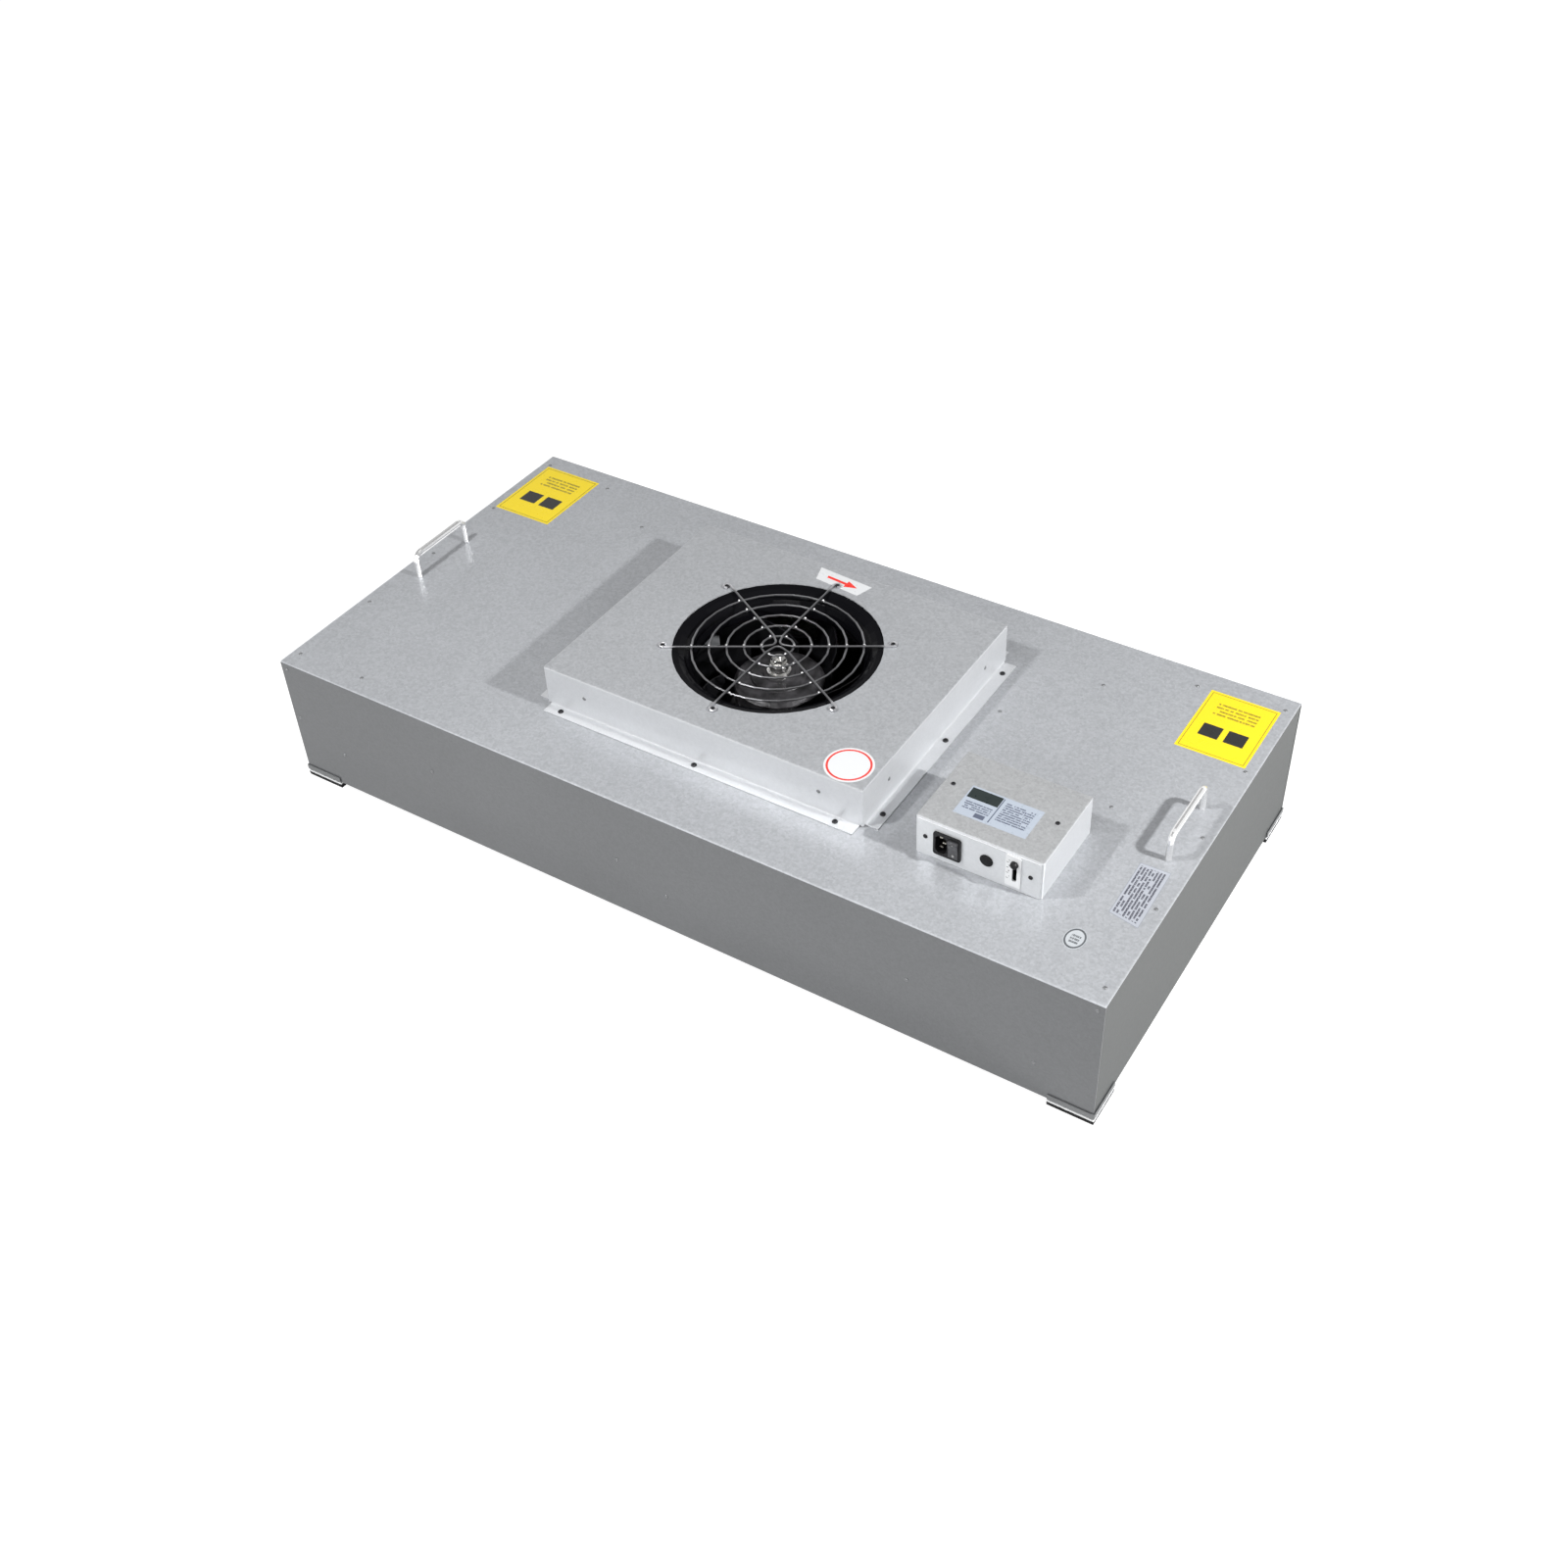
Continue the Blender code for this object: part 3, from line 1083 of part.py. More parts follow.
def speed_slot():
    """Slot of the speed knob, with round ends, as long as the knob's travel needs."""
    height = SPEED_TRAVEL + SPEED_SLOT_LENGTH
    round_end = SPEED_SLOT_LENGTH / 2 - FLAT_LEFT
    return rounded_rectangle((SPEED_X, SPEED_MIDDLE_Z), SPEED_SLOT_LENGTH, height, round_end, 3)


def power_inlet(black_plastic, grey_plastic, brass):
    """Snap-in module: bezel, recessed inlet with three pins, and a rocker beside it."""
    x, z = module_centre()
    face = BOX_FRONT - SEAM - BEZEL_SHEET
    bezel = rounded_rectangle((x, z), BEZEL_LENGTH, BEZEL_HEIGHT, BEZEL_CORNER, 3)
    module = put("power_inlet", prism("power_inlet", bezel, face, BOX_FRONT - SEAM, "XZ"), black_plastic)
    body = rounded_rectangle((x, z), MODULE_LENGTH, MODULE_HEIGHT, MODULE_CORNER, 1)
    back = BOX_FRONT + MODULE_DEPTH
    body = prism("join_module", body, face + BEZEL_SHEET / 2, back, "XZ")
    join(module, put("join_module", body, None))
    socket_x = x - MODULE_LENGTH / 2 + MODULE_WALL + SOCKET_LENGTH / 2
    socket = rounded_rectangle((socket_x, z), SOCKET_LENGTH, SOCKET_HEIGHT, SOCKET_CORNER, 1)
    floor = face + SOCKET_DEPTH
    cut(module, put("cut_socket", prism("cut_socket", socket, face - CUT_REACH, floor, "XZ"), None))
    rocker_x = x + MODULE_LENGTH / 2 - MODULE_WALL - ROCKER_SLOT_LENGTH / 2
    slot_size = (ROCKER_SLOT_LENGTH, ROCKER_SLOT_HEIGHT)
    slot = rounded_rectangle((rocker_x, z), *slot_size, ROCKER_SLOT_CORNER, 1)
    slot = prism("cut_rocker", slot, face - CUT_REACH, face + ROCKER_SLOT_DEPTH, "XZ")
    cut(module, put("cut_rocker", slot, None))

    half = PIN_THICKNESS / 2
    spots = {
        "pin_live": (socket_x - EARTH_OFFSET / 2, z + PIN_SPREAD),
        "pin_neutral": (socket_x - EARTH_OFFSET / 2, z - PIN_SPREAD),
        "pin_earth": (socket_x + EARTH_OFFSET / 2, z),
    }
    for name, (pin_x, pin_z) in spots.items():
        low = (pin_x - PIN_WIDTH / 2, floor - SEAM - PIN_LENGTH, pin_z - half)
        high = (pin_x + PIN_WIDTH / 2, floor - SEAM, pin_z + half)
        put(name, block(name, low, high), brass)

    half_width = ROCKER_SLOT_LENGTH / 2 - ROCKER_PLAY
    reach = ROCKER_REACH
    upper = [
        (-ROCKER_WAIST, reach / 2), (-ROCKER_TIP, reach), (ROCKER_CHEEK, reach - ROCKER_REACH_SLOPE),
        (ROCKER_BACK, ROCKER_BACK_HALF),
    ]
    section = [(-ROCKER_DISH, 0.0)] + upper + [(y, -z) for y, z in upper[::-1]]
    rocker = prism("power_rocker", section, -half_width, half_width, "YZ")
    put("power_rocker", rocker, grey_plastic, rocker_pivot(rocker_x, z), (ROCKER_TILT, 0, 0))


def rocker_pivot(x, z):
    """Where the rocker turns, a little behind the bezel."""
    return (x, BOX_FRONT - SEAM - BEZEL_SHEET + ROCKER_PIVOT_DEPTH, z)


def panel_parts(black_rubber, white_plate, black_plastic):
    """Hole plug, speed plate, speed switch and its knob."""
    head = PLUG_HEAD
    plug = [
        (0.0, head), (PLUG_RADIUS * 0.6, head * 0.9), (PLUG_RADIUS - PLUG_EDGE, head * 0.45),
        (PLUG_RADIUS, PLUG_RIM), (PLUG_RADIUS, 0.0), (PLUG_BARREL_RADIUS, 0.0),
        (PLUG_BARREL_RADIUS, -PLUG_BARREL), (0.0, -PLUG_BARREL),
    ]
    face_on = (math.radians(90.0), 0.0, 0.0)
    spot = (PLUG_X, BOX_FRONT - SEAM, HOUSING_TOP + PLUG_Z)
    put("hole_plug", turned("hole_plug", plug, 18), black_rubber, spot, face_on)

    middle = SPEED_MIDDLE_Z
    centre = (SPEED_X + SPEED_PLATE_OFFSET, middle)
    outline = rounded_rectangle(centre, SPEED_PLATE_LENGTH, SPEED_PLATE_HEIGHT, SPEED_PLATE_CORNER, 1)
    front = BOX_FRONT - SEAM - SPEED_PLATE_SHEET
    plate = put("speed_plate", prism("speed_plate", outline, front, BOX_FRONT - SEAM, "XZ"), white_plate)
    slot = prism("cut_plate_slot", speed_slot(), front - CUT_REACH, BOX_FRONT, "XZ")
    cut(plate, put("cut_plate_slot", slot, None))

    behind = PANEL_BACK + SEAM
    low = (SPEED_X - SWITCH_LENGTH / 2, behind, middle - SWITCH_HEIGHT / 2)
    high = (SPEED_X + SWITCH_LENGTH / 2, behind + SWITCH_DEPTH, middle + SWITCH_HEIGHT / 2)
    body = put("speed_switch", block("speed_switch", low, high), black_plastic)
    channel = prism("cut_channel", speed_slot(), behind - CUT_REACH, behind + SWITCH_CHANNEL_DEPTH, "XZ")
    cut(body, put("cut_channel", channel, None))

    base = KNOB_GAP
    knob = [
        (0.0, base + KNOB_HEAD), (KNOB_RADIUS * 0.6, base + KNOB_HEAD * 0.95),
        (KNOB_RADIUS * 0.93, base + KNOB_HEAD * 0.75), (KNOB_RADIUS, base + KNOB_HEAD * 0.45),
        (KNOB_RADIUS, base), (KNOB_STEM_RADIUS, base), (KNOB_STEM_RADIUS, -KNOB_STEM), (0.0, -KNOB_STEM),
    ]
    put("speed_knob", turned("speed_knob", knob, 16), black_plastic, knob_place(front), face_on)


def knob_place(front):
    """Where the knob stands on its axis of travel: at the top of the slot."""
    return (SPEED_X, front, HOUSING_TOP + SPEED_TOP_Z)


def box_inside(capacitor_skin, steel, terminal_plastic, rubber, lead_skin):
    """Run capacitor under its clamp, terminal block, cable grommet and the lead to the motor."""
    radius = CAPACITOR_RADIUS
    centre_z = STRIP_TOP + SEAM + radius
    rim = CAPACITOR_RIM
    half = CAPACITOR_LENGTH / 2
    can = [(0.0, half), (radius - rim, half), (radius, half - rim), (radius, rim - half)]
    can += [(radius - rim, -half), (0.0, -half)]
    lying = (0.0, math.radians(90.0), 0.0)
    spot = (CAPACITOR_X, STRIP_Y, centre_z)
    put("capacitor", turned("capacitor", can, 24), capacitor_skin, spot, lying)

    reach = radius + 2 * SEAM + CLAMP_SHEET / 2
    foot_z = STRIP_TOP + SEAM + CLAMP_SHEET / 2
    top = centre_z + reach
    path = [
        (STRIP_Y - reach - CLAMP_FOOT, foot_z), (STRIP_Y - reach, foot_z, CLAMP_BEND),
        (STRIP_Y - reach, top, reach), (STRIP_Y + reach, top, reach - FLAT_LEFT),
        (STRIP_Y + reach, foot_z, CLAMP_BEND), (STRIP_Y + reach + CLAMP_FOOT, foot_z),
    ]
    ends = (CAPACITOR_X - CLAMP_WIDTH / 2, CAPACITOR_X + CLAMP_WIDTH / 2)
    put("capacitor_clamp", folded_strip("capacitor_clamp", path, CLAMP_SHEET, *ends, "YZ", 5), steel)

    low = STRIP_TOP + SEAM
    deep, tall = TERMINAL_DEPTH / 2, TERMINAL_HEIGHT
    ridge = deep - TERMINAL_SHOULDER
    section = [
        (-deep, low), (deep, low), (deep, low + tall * 0.55), (ridge, low + tall),
        (-ridge, low + tall), (-deep, low + tall * 0.55),
    ]
    section = [(STRIP_Y + y, z) for y, z in section]
    x0 = TERMINAL_X - TERMINAL_LENGTH / 2
    rail = prism("terminal_block", section, x0, x0 + TERMINAL_LENGTH, "YZ")
    terminals = put("terminal_block", rail, terminal_plastic)
    for way in range(TERMINAL_WAYS):
        well = turned(f"cut_well_{way + 1}", cylinder_outline(WELL_RADIUS, -WELL_DEPTH, WELL_DEPTH), 10)
        x = x0 + TERMINAL_LENGTH * (way + 0.5) / TERMINAL_WAYS
        cut(terminals, put(f"cut_well_{way + 1}", well, None, (x, STRIP_Y, low + tall)))

    hole = LEAD_RADIUS + SEAM
    waist = GROMMET_HOLE_RADIUS - SEAM
    over, under = HOUSING_TOP + SEAM, TOP_UNDERSIDE - SEAM
    rim, edge = GROMMET_RADIUS, GROMMET_RADIUS - GROMMET_EDGE
    bush = [
        (hole, over + GROMMET_LIP), (edge, over + GROMMET_LIP), (rim, over), (waist, over),
        (waist, under), (rim, under), (edge, under - GROMMET_LIP), (hole, under - GROMMET_LIP),
    ]
    put("cable_grommet", turned("cable_grommet", bush, 16), rubber, (GROMMET_X, GROMMET_Y, 0))
    motor_lead(lead_skin)


def motor_lead(lead_skin):
    """Cable from behind the terminal block, down through the grommet and along the plate to the stator."""
    start_z = STRIP_TOP + TERMINAL_HEIGHT * 0.4
    run_z = PLATE_TOP + SEAM + LEAD_RADIUS
    back = STRIP_Y + TERMINAL_DEPTH / 2 + SEAM
    down = Vector((0.0, 0.0, -1.0))
    inwards = Vector((-1.0, LEAD_SLANT, 0.0))
    start = Vector((TERMINAL_X, back, start_z))
    above = Vector((GROMMET_X, GROMMET_Y, HOUSING_TOP + LEAD_OVER))
    below = Vector((GROMMET_X, GROMMET_Y, HOUSING_TOP - LEAD_UNDER))
    landing = Vector((OPENING_HALF_X - LEAD_LANDING_INSET, LEAD_LANDING_Y, run_z))
    stop = Vector((STATOR_FLANGE_RADIUS + SEAM, 0.0, run_z))
    knots = [
        (start, Vector((0.0, 1.0, 0.0)), LEAD_STUB, LEAD_RISE_ARM),
        (above, down, LEAD_DROP_ARM, LEAD_STUB),
        (below, down, LEAD_STUB, LEAD_FALL_ARM),
        (landing, inwards, LEAD_LANDING_ARM, LEAD_RUN_ARM),
        (stop, Vector((-1.0, 0.0, 0.0)), LEAD_RUN_ARM, LEAD_STUB),
    ]
    spline = bpy.data.curves.new("motor_lead", "CURVE")
    spline.dimensions = "3D"
    spline.bevel_depth = LEAD_RADIUS
    spline.bevel_resolution = 1
    spline.resolution_u = 6
    spline.use_fill_caps = True
    line = spline.splines.new("BEZIER")
    line.bezier_points.add(len(knots) - 1)
    for knot, (point, along, before, after) in zip(line.bezier_points, knots):
        knot.handle_left_type = "FREE"
        knot.handle_right_type = "FREE"
        knot.co = point
        knot.handle_left = point - along * before
        knot.handle_right = point + along * after
    cable = bpy.data.objects.new("motor_lead", spline)
    bpy.context.scene.collection.objects.link(cable)
    spline.materials.append(lead_skin)


def even_shading():
    """Let large flat faces lead the shading of every piece that is cut or joined."""
    for piece in bpy.data.objects:
        if any(step.type == "BOOLEAN" for step in piece.modifiers):
            normals = piece.modifiers.new("normals", "WEIGHTED_NORMAL")
            normals.keep_sharp = True


def build():
    """Put the whole unit together."""
    clear_scene()
    steel = finish("galvanised_steel", (0.52, 0.53, 0.55), 0.32, 1.0)
    bracket_steel = finish("bracket_steel", (0.60, 0.61, 0.62), 0.30, 1.0)
    foot_rubber = finish("foot_rubber", (0.10, 0.10, 0.11), 0.75, 0.0)
    aluminium = finish("frame_aluminium", (0.75, 0.76, 0.77), 0.35, 1.0)
    paper = finish("filter_paper", (0.90, 0.90, 0.88), 0.90, 0.0)
    foam = finish("gasket_foam", (0.12, 0.12, 0.13), 0.90, 0.0)
    liner_foam = finish("liner_foam", (0.16, 0.16, 0.17), 0.95, 0.0)
    guard_paint = finish("guard_paint", (0.88, 0.88, 0.87), 0.45, 0.0)
    black_paint = finish("black_paint", (0.02, 0.02, 0.022), 0.45, 0.0)
    bright_wire = finish("bright_wire", (0.66, 0.67, 0.68), 0.22, 1.0)
    wheel_paint = finish("wheel_paint", (0.035, 0.036, 0.04), 0.50, 0.0)
    rotor_paint = finish("rotor_paint", (0.06, 0.06, 0.065), 0.45, 0.3)
    bright_steel = finish("bright_steel", (0.78, 0.78, 0.79), 0.15, 1.0)
    stator_metal = finish("stator_metal", (0.45, 0.46, 0.47), 0.45, 1.0)
    copper = finish("copper", (0.75, 0.36, 0.18), 0.35, 1.0)
    bearing_steel = finish("bearing_steel", (0.65, 0.66, 0.68), 0.25, 1.0)
    dark_steel = finish("dark_steel", (0.10, 0.10, 0.11), 0.40, 0.8)
    black_plastic = finish("black_plastic", (0.02, 0.02, 0.022), 0.40, 0.0)
    grey_plastic = finish("grey_plastic", (0.09, 0.09, 0.10), 0.45, 0.0)
    brass = finish("brass_pins", (0.75, 0.62, 0.38), 0.30, 1.0)
    black_rubber = finish("black_rubber", (0.015, 0.015, 0.016), 0.60, 0.0)
    white_plate = finish("white_plate", (0.88, 0.88, 0.88), 0.40, 0.0)
    capacitor_skin = finish("capacitor_skin", (0.80, 0.80, 0.78), 0.40, 0.0)
    terminal_plastic = finish("terminal_plastic", (0.78, 0.78, 0.74), 0.50, 0.0)
    lead_skin = finish("lead_skin", (0.03, 0.03, 0.03), 0.50, 0.0)

    housing(steel, bracket_steel, foot_rubber)
    filter_unit(aluminium, paper, foam, guard_paint, steel, liner_foam)
    inlet_box(steel)
    inlet_ring(black_paint)
    finger_guard(bright_wire)
    fan(wheel_paint, rotor_paint, bright_steel, stator_metal, copper, bearing_steel, steel)
    handles(bright_steel, dark_steel)
    electric_box(steel)
    power_inlet(black_plastic, grey_plastic, brass)
    panel_parts(black_rubber, white_plate, black_plastic)
    box_inside(capacitor_skin, steel, terminal_plastic, black_rubber, lead_skin)
    even_shading()


build()
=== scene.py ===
"""Looks of a fan filter unit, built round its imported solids.

The file follows the unit as it is put together: housing, feet, filter, inlet box, bell mouth and guard, fan,
handles, electric box, labels, and last the studio it stands in. Metres, +Z up, the electric box faces -Y.
"""

import math

import bmesh
import bpy
import numpy as np
from mathutils import Matrix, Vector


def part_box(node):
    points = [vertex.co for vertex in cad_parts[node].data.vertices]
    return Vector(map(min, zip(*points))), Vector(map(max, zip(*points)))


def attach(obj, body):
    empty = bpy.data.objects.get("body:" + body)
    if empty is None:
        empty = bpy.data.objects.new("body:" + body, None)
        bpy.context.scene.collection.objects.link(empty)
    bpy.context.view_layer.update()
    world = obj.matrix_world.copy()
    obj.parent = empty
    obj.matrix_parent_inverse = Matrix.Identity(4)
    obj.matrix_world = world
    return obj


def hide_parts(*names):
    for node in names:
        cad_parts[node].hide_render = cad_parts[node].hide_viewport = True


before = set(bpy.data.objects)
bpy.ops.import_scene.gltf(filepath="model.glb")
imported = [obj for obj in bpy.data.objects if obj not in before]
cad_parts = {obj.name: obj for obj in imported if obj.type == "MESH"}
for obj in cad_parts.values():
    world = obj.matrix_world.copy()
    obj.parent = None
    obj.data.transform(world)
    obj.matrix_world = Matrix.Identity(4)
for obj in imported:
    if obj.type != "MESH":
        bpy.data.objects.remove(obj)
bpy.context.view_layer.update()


# Housing: one sheet folded over top, front and back, closed by a riveted panel at each end.
# Hot-dip galvanised steel with small zinc crystals and a dull pale top. The upright walls get a darker tone,
# which
# # is painted shade, and a painted highlight lightens the top along its folded edges.

TOP = 0.1960
HALF_LENGTH = 0.5875
HALF_WIDTH = 0.2875
TOP_TONE = (0.416, 0.428, 0.449)
# The walls' darker tone is painted shade: less light falls on the upright faces than on the top.
SHADED_WALL_TONE = (0.150, 0.155, 0.161)
# The right end panel's tone is painted shade, darker still than the walls.
SHADED_END_TONE = (0.078, 0.083, 0.082)
CRYSTALS = 300.0
SHEET = 0.0012
FOLD_DEPTH = 0.0008
# The lighter rim of the top along its folds is a painted highlight.
RIM_WIDTH, FOLD_HIGHLIGHT = 0.0022, 0.26


def blank_finish(name, colour, metallic, roughness):
    """A finish with its plain values on the shader's own sockets, and nothing linked to it yet."""
    finish = bpy.data.materials.new(name)
    finish.use_nodes = True
    shader = finish.node_tree.nodes["Principled BSDF"]
    shader.inputs["Base Color"].default_value = (*colour, 1.0)
    shader.inputs["Metallic"].default_value = metallic
    shader.inputs["Roughness"].default_value = roughness
    return finish, finish.node_tree, shader


def pattern(tree, kind, sockets, **menus):
    """One node of a pattern: sockets takes numbers or other nodes' outputs, menus the node's settings."""
    made = tree.nodes.new("ShaderNode" + kind)
    for name, value in menus.items():
        setattr(made, name, value)
    for name, value in sockets.items():
        if isinstance(value, bpy.types.NodeSocket):
            tree.links.new(value, made.inputs[name])
        else:
            made.inputs[name].default_value = value
    return made


def place(tree, stretch=(1.0, 1.0, 1.0)):
    """Object coordinates in metres, stretched along each axis."""
    where = pattern(tree, "TexCoord", {}).outputs["Object"]
    return pattern(tree, "Mapping", {"Vector": where, "Scale": stretch}).outputs["Vector"]


def sums(tree, operation, first, second=0.0):
    """One step of arithmetic between two values of the pattern."""
    return pattern(tree, "Math", {0: first, 1: second}, operation=operation).outputs[0]


def spread(tree, value, low, high, new_low, new_high):
    """value brought from the range low to high to the new range, and held inside it."""
    sockets = {"Value": value, "From Min": low, "From Max": high, "To Min": new_low, "To Max": new_high}
    return pattern(tree, "MapRange", sockets).outputs["Result"]


def grain(tree, where, scale, detail=2.0, roughness=0.55):
    """Soft noise between 0 and 1; scale is in grains a metre."""
    sockets = {"Vector": where, "Scale": scale, "Detail": detail, "Roughness": roughness}
    return pattern(tree, "TexNoise", sockets).outputs["Fac"]


def blend_tone(tree, share, first, second):
    """A colour between first and second, by share."""
    made = tree.nodes.new("ShaderNodeMix")
    made.data_type = "RGBA"
    for socket, value in ((made.inputs[0], share), (made.inputs[6], first), (made.inputs[7], second)):
        if isinstance(value, bpy.types.NodeSocket):
            tree.links.new(value, socket)
        elif socket.type == "RGBA":
            socket.default_value = (*value, 1.0)
        else:
            socket.default_value = value
    return made.outputs[2]


def shaded(tree, tone, light):
    """tone made lighter or darker by light, which is about 1."""
    return pattern(tree, "VectorMath", {0: tone, "Scale": light}, operation="SCALE").outputs[0]


def relief(tree, shader, height, depth, strength):
    """Small relief on the surface, depth metres from the lowest to the highest of height."""
    sockets = {"Height": height, "Distance": depth, "Strength": strength}
    tree.links.new(pattern(tree, "Bump", sockets).outputs["Normal"], shader.inputs["Normal"])


def glossed(tree, shader, value, low, high, first, last):
    """Roughness that goes from first to last as value goes from low to high."""
    tree.links.new(spread(tree, value, low, high, first, last), shader.inputs["Roughness"])


def zinc_sheet(name, top, wall, top_height, gloss=0.36, metallic=0.3, wall_grain=0.6, fold=None):
    """Galvanised sheet. Cells 3 mm across give each zinc crystal its own tone and gloss, fine noise breaks
    them up, and slow noise clouds the sheet. Above top_height the sheet has the tone top. Below it the tone
    is wall, with a grain wall_grain times as strong. Where wall differs from top, the difference is painted:
    shade on the housing's walls, light on the walls of the inlet box and the electric box. Within 2 mm of the
    outline |x|, |y| = fold the top is lighter: a painted highlight along the rounded fold."""
    finish, tree, shader = blank_finish(name, top, metallic, gloss)
    where = place(tree)
    axes = pattern(tree, "SeparateXYZ", {"Vector": where}).outputs
    level = spread(tree, axes["Z"], top_height - FOLD_DEPTH, top_height, 0.0, 1.0)
    cells = pattern(tree, "TexVoronoi", {"Vector": where, "Scale": CRYSTALS})
    crystal = pattern(tree, "SeparateColor", {"Color": cells.outputs["Color"]}).outputs["Red"]
    fine = grain(tree, where, 420.0, 3.0)
    speckle = spread(tree, crystal, 0, 1, -0.09, 0.07)
    speckle = sums(tree, "ADD", speckle, spread(tree, fine, 0.3, 0.7, -0.07, 0.07))
    speckle = sums(tree, "MULTIPLY", speckle, spread(tree, level, 0, 1, wall_grain, 1.0))
    cloud = spread(tree, grain(tree, where, 6.0, 2.0), 0.3, 0.7, 0.97, 1.03)
    light = sums(tree, "ADD", speckle, cloud)
    if fold:
        # Painted highlight: the top is made lighter within 2 mm of its folded outline.
        short = [sums(tree, "SUBTRACT", sums(tree, "ABSOLUTE", axes[i]), fold[i]) for i in (0, 1)]
        painted_fold_highlight = spread(tree, sums(tree, "MAXIMUM", *short), -RIM_WIDTH, -FOLD_DEPTH, 0.0, FOLD_HIGHLIGHT)
        light = sums(tree, "ADD", light, sums(tree, "MULTIPLY", painted_fold_highlight, level))
    tree.links.new(shaded(tree, blend_tone(tree, level, wall, top), light), shader.inputs["Base Color"])
    glossed(tree, shader, crystal, 0, 1, gloss - 0.01, gloss + 0.03)
    bumps = sums(tree, "ADD", sums(tree, "MULTIPLY", crystal, 0.4), fine)
    relief(tree, shader, bumps, 0.00006, spread(tree, level, 0, 1, 0.4 * wall_grain, 0.2))
    return finish


def dress(finish, *names):
    """Gives CAD nodes their finish."""
    for name in names:
        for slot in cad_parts[name].material_slots:
            slot.material = finish


def turned(profile, segments=24):
    """A profile of (radius, height) pairs carried round +Z: x = r cos a, y = r sin a, z = h."""
    radius, height = np.asarray(profile, float).T
    angle = np.linspace(0.0, 2.0 * np.pi, segments, endpoint=False)
    x, y = radius[:, None] * np.cos(angle), radius[:, None] * np.sin(angle)
    return np.stack([x, y, np.broadcast_to(height[:, None], x.shape)], axis=-1)


def stood(grid, places, outward=(0.0, 0.0, 1.0)):
    """Copies of a grid at the places, its +Z brought to outward and its +X kept as level as it can be."""
    up = np.asarray(outward, float) / np.linalg.norm(outward)
    side = np.cross((0.0, 0.0, 1.0), up) if abs(up[2]) < 0.99 else np.array((1.0, 0.0, 0.0))
    side = side / np.linalg.norm(side)
    turn = np.stack([side, np.cross(up, side), up])
    return (grid @ turn)[None] + np.asarray(places, float)[:, None, None, :]


def skin(name, grids, finish, body, sharp=32.0):
    """One mesh through the points of many grids (grid, row, column, xyz). Each row joins its last column to
    its first. Rows drawn together to a point close a pole, because equal points are merged."""
    grids = [np.asarray(grid, float).reshape(-1, *np.shape(grid)[-3:]) for grid in grids]
    points, faces, start = [], [], 0
    for grid in grids:
        count, rows, columns = grid.shape[:3]
        index = np.arange(rows * columns).reshape(rows, columns)
        there = np.roll(index, -1, axis=1)
        quads = np.stack([index[:-1], there[:-1], there[1:], index[1:]], axis=-1).reshape(-1, 4)
        steps = start + rows * columns * np.arange(count)
        faces.append((quads[None] + steps[:, None, None]).reshape(-1, 4))
        points.append(grid.reshape(-1, 3))
        start += grid.size // 3
    mesh = bpy.data.meshes.new(name)
    mesh.from_pydata(np.concatenate(points), [], np.concatenate(faces).tolist())
    shell = bmesh.new()
    shell.from_mesh(mesh)
    bmesh.ops.remove_doubles(shell, verts=shell.verts, dist=1e-7)
    bmesh.ops.dissolve_degenerate(shell, edges=shell.edges, dist=1e-8)
    bmesh.ops.recalc_face_normals(shell, faces=shell.faces)
    shell.to_mesh(mesh)
    shell.free()
    mesh.shade_smooth()
    mesh.set_sharp_from_angle(angle=math.radians(sharp))
    mesh.materials.append(finish)
    made = bpy.data.objects.new(name, mesh)
    bpy.context.scene.collection.objects.link(made)
    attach(made, body)
    return made


fold_line = (HALF_LENGTH, HALF_WIDTH)
housing_zinc = zinc_sheet("housing_zinc", TOP_TONE, SHADED_WALL_TONE, TOP - SHEET, 0.30, 0.33, fold=fold_line)
# The right end panel gets a tone of its own, darker than the left one: painted shade.
shaded_end_zinc = zinc_sheet("shaded_end_zinc", SHADED_END_TONE, SHADED_END_TONE, TOP, 0.50, 0.2)
dress(housing_zinc, "housing_wrap", "end_panel_left")
dress(shaded_end_zinc, "end_panel_right")


# Blind rivets: low domed heads with the broken mandrel in a small hollow, pulled through the top and the
# front and back walls into the flanges of the end panels and into the baffle brackets inside.

RIVET_RADIUS = 0.0026
RIVET_FROM_END = 0.0125
RIVET_FROM_FOLD = 0.0090
FRONT, BACK, LEFT, RIGHT = (0, -1, 0), (0, 1, 0), (-1, 0, 0), (1, 0, 0)


def worn(name, tone, metallic, roughness, grains, gloss, bumps=None, detail=2.0, specular=0.5):
    """A finish of one tone. Noise of so many grains a metre takes its roughness from the first to the last
    value of gloss, and gives it relief where bumps holds a depth and a strength."""
    finish, tree, shader = blank_finish(name, tone, metallic, roughness)
    shader.inputs["Specular IOR Level"].default_value = specular
    wear = grain(tree, place(tree), grains, detail)
    glossed(tree, shader, wear, 0.3, 0.7, *gloss)
    if bumps:
        relief(tree, shader, wear, *bumps)
    return finish


rivet_metal = worn("rivet_metal", (0.21, 0.215, 0.22), 0.5, 0.40, 900.0, (0.34, 0.50), (0.00003, 0.4))

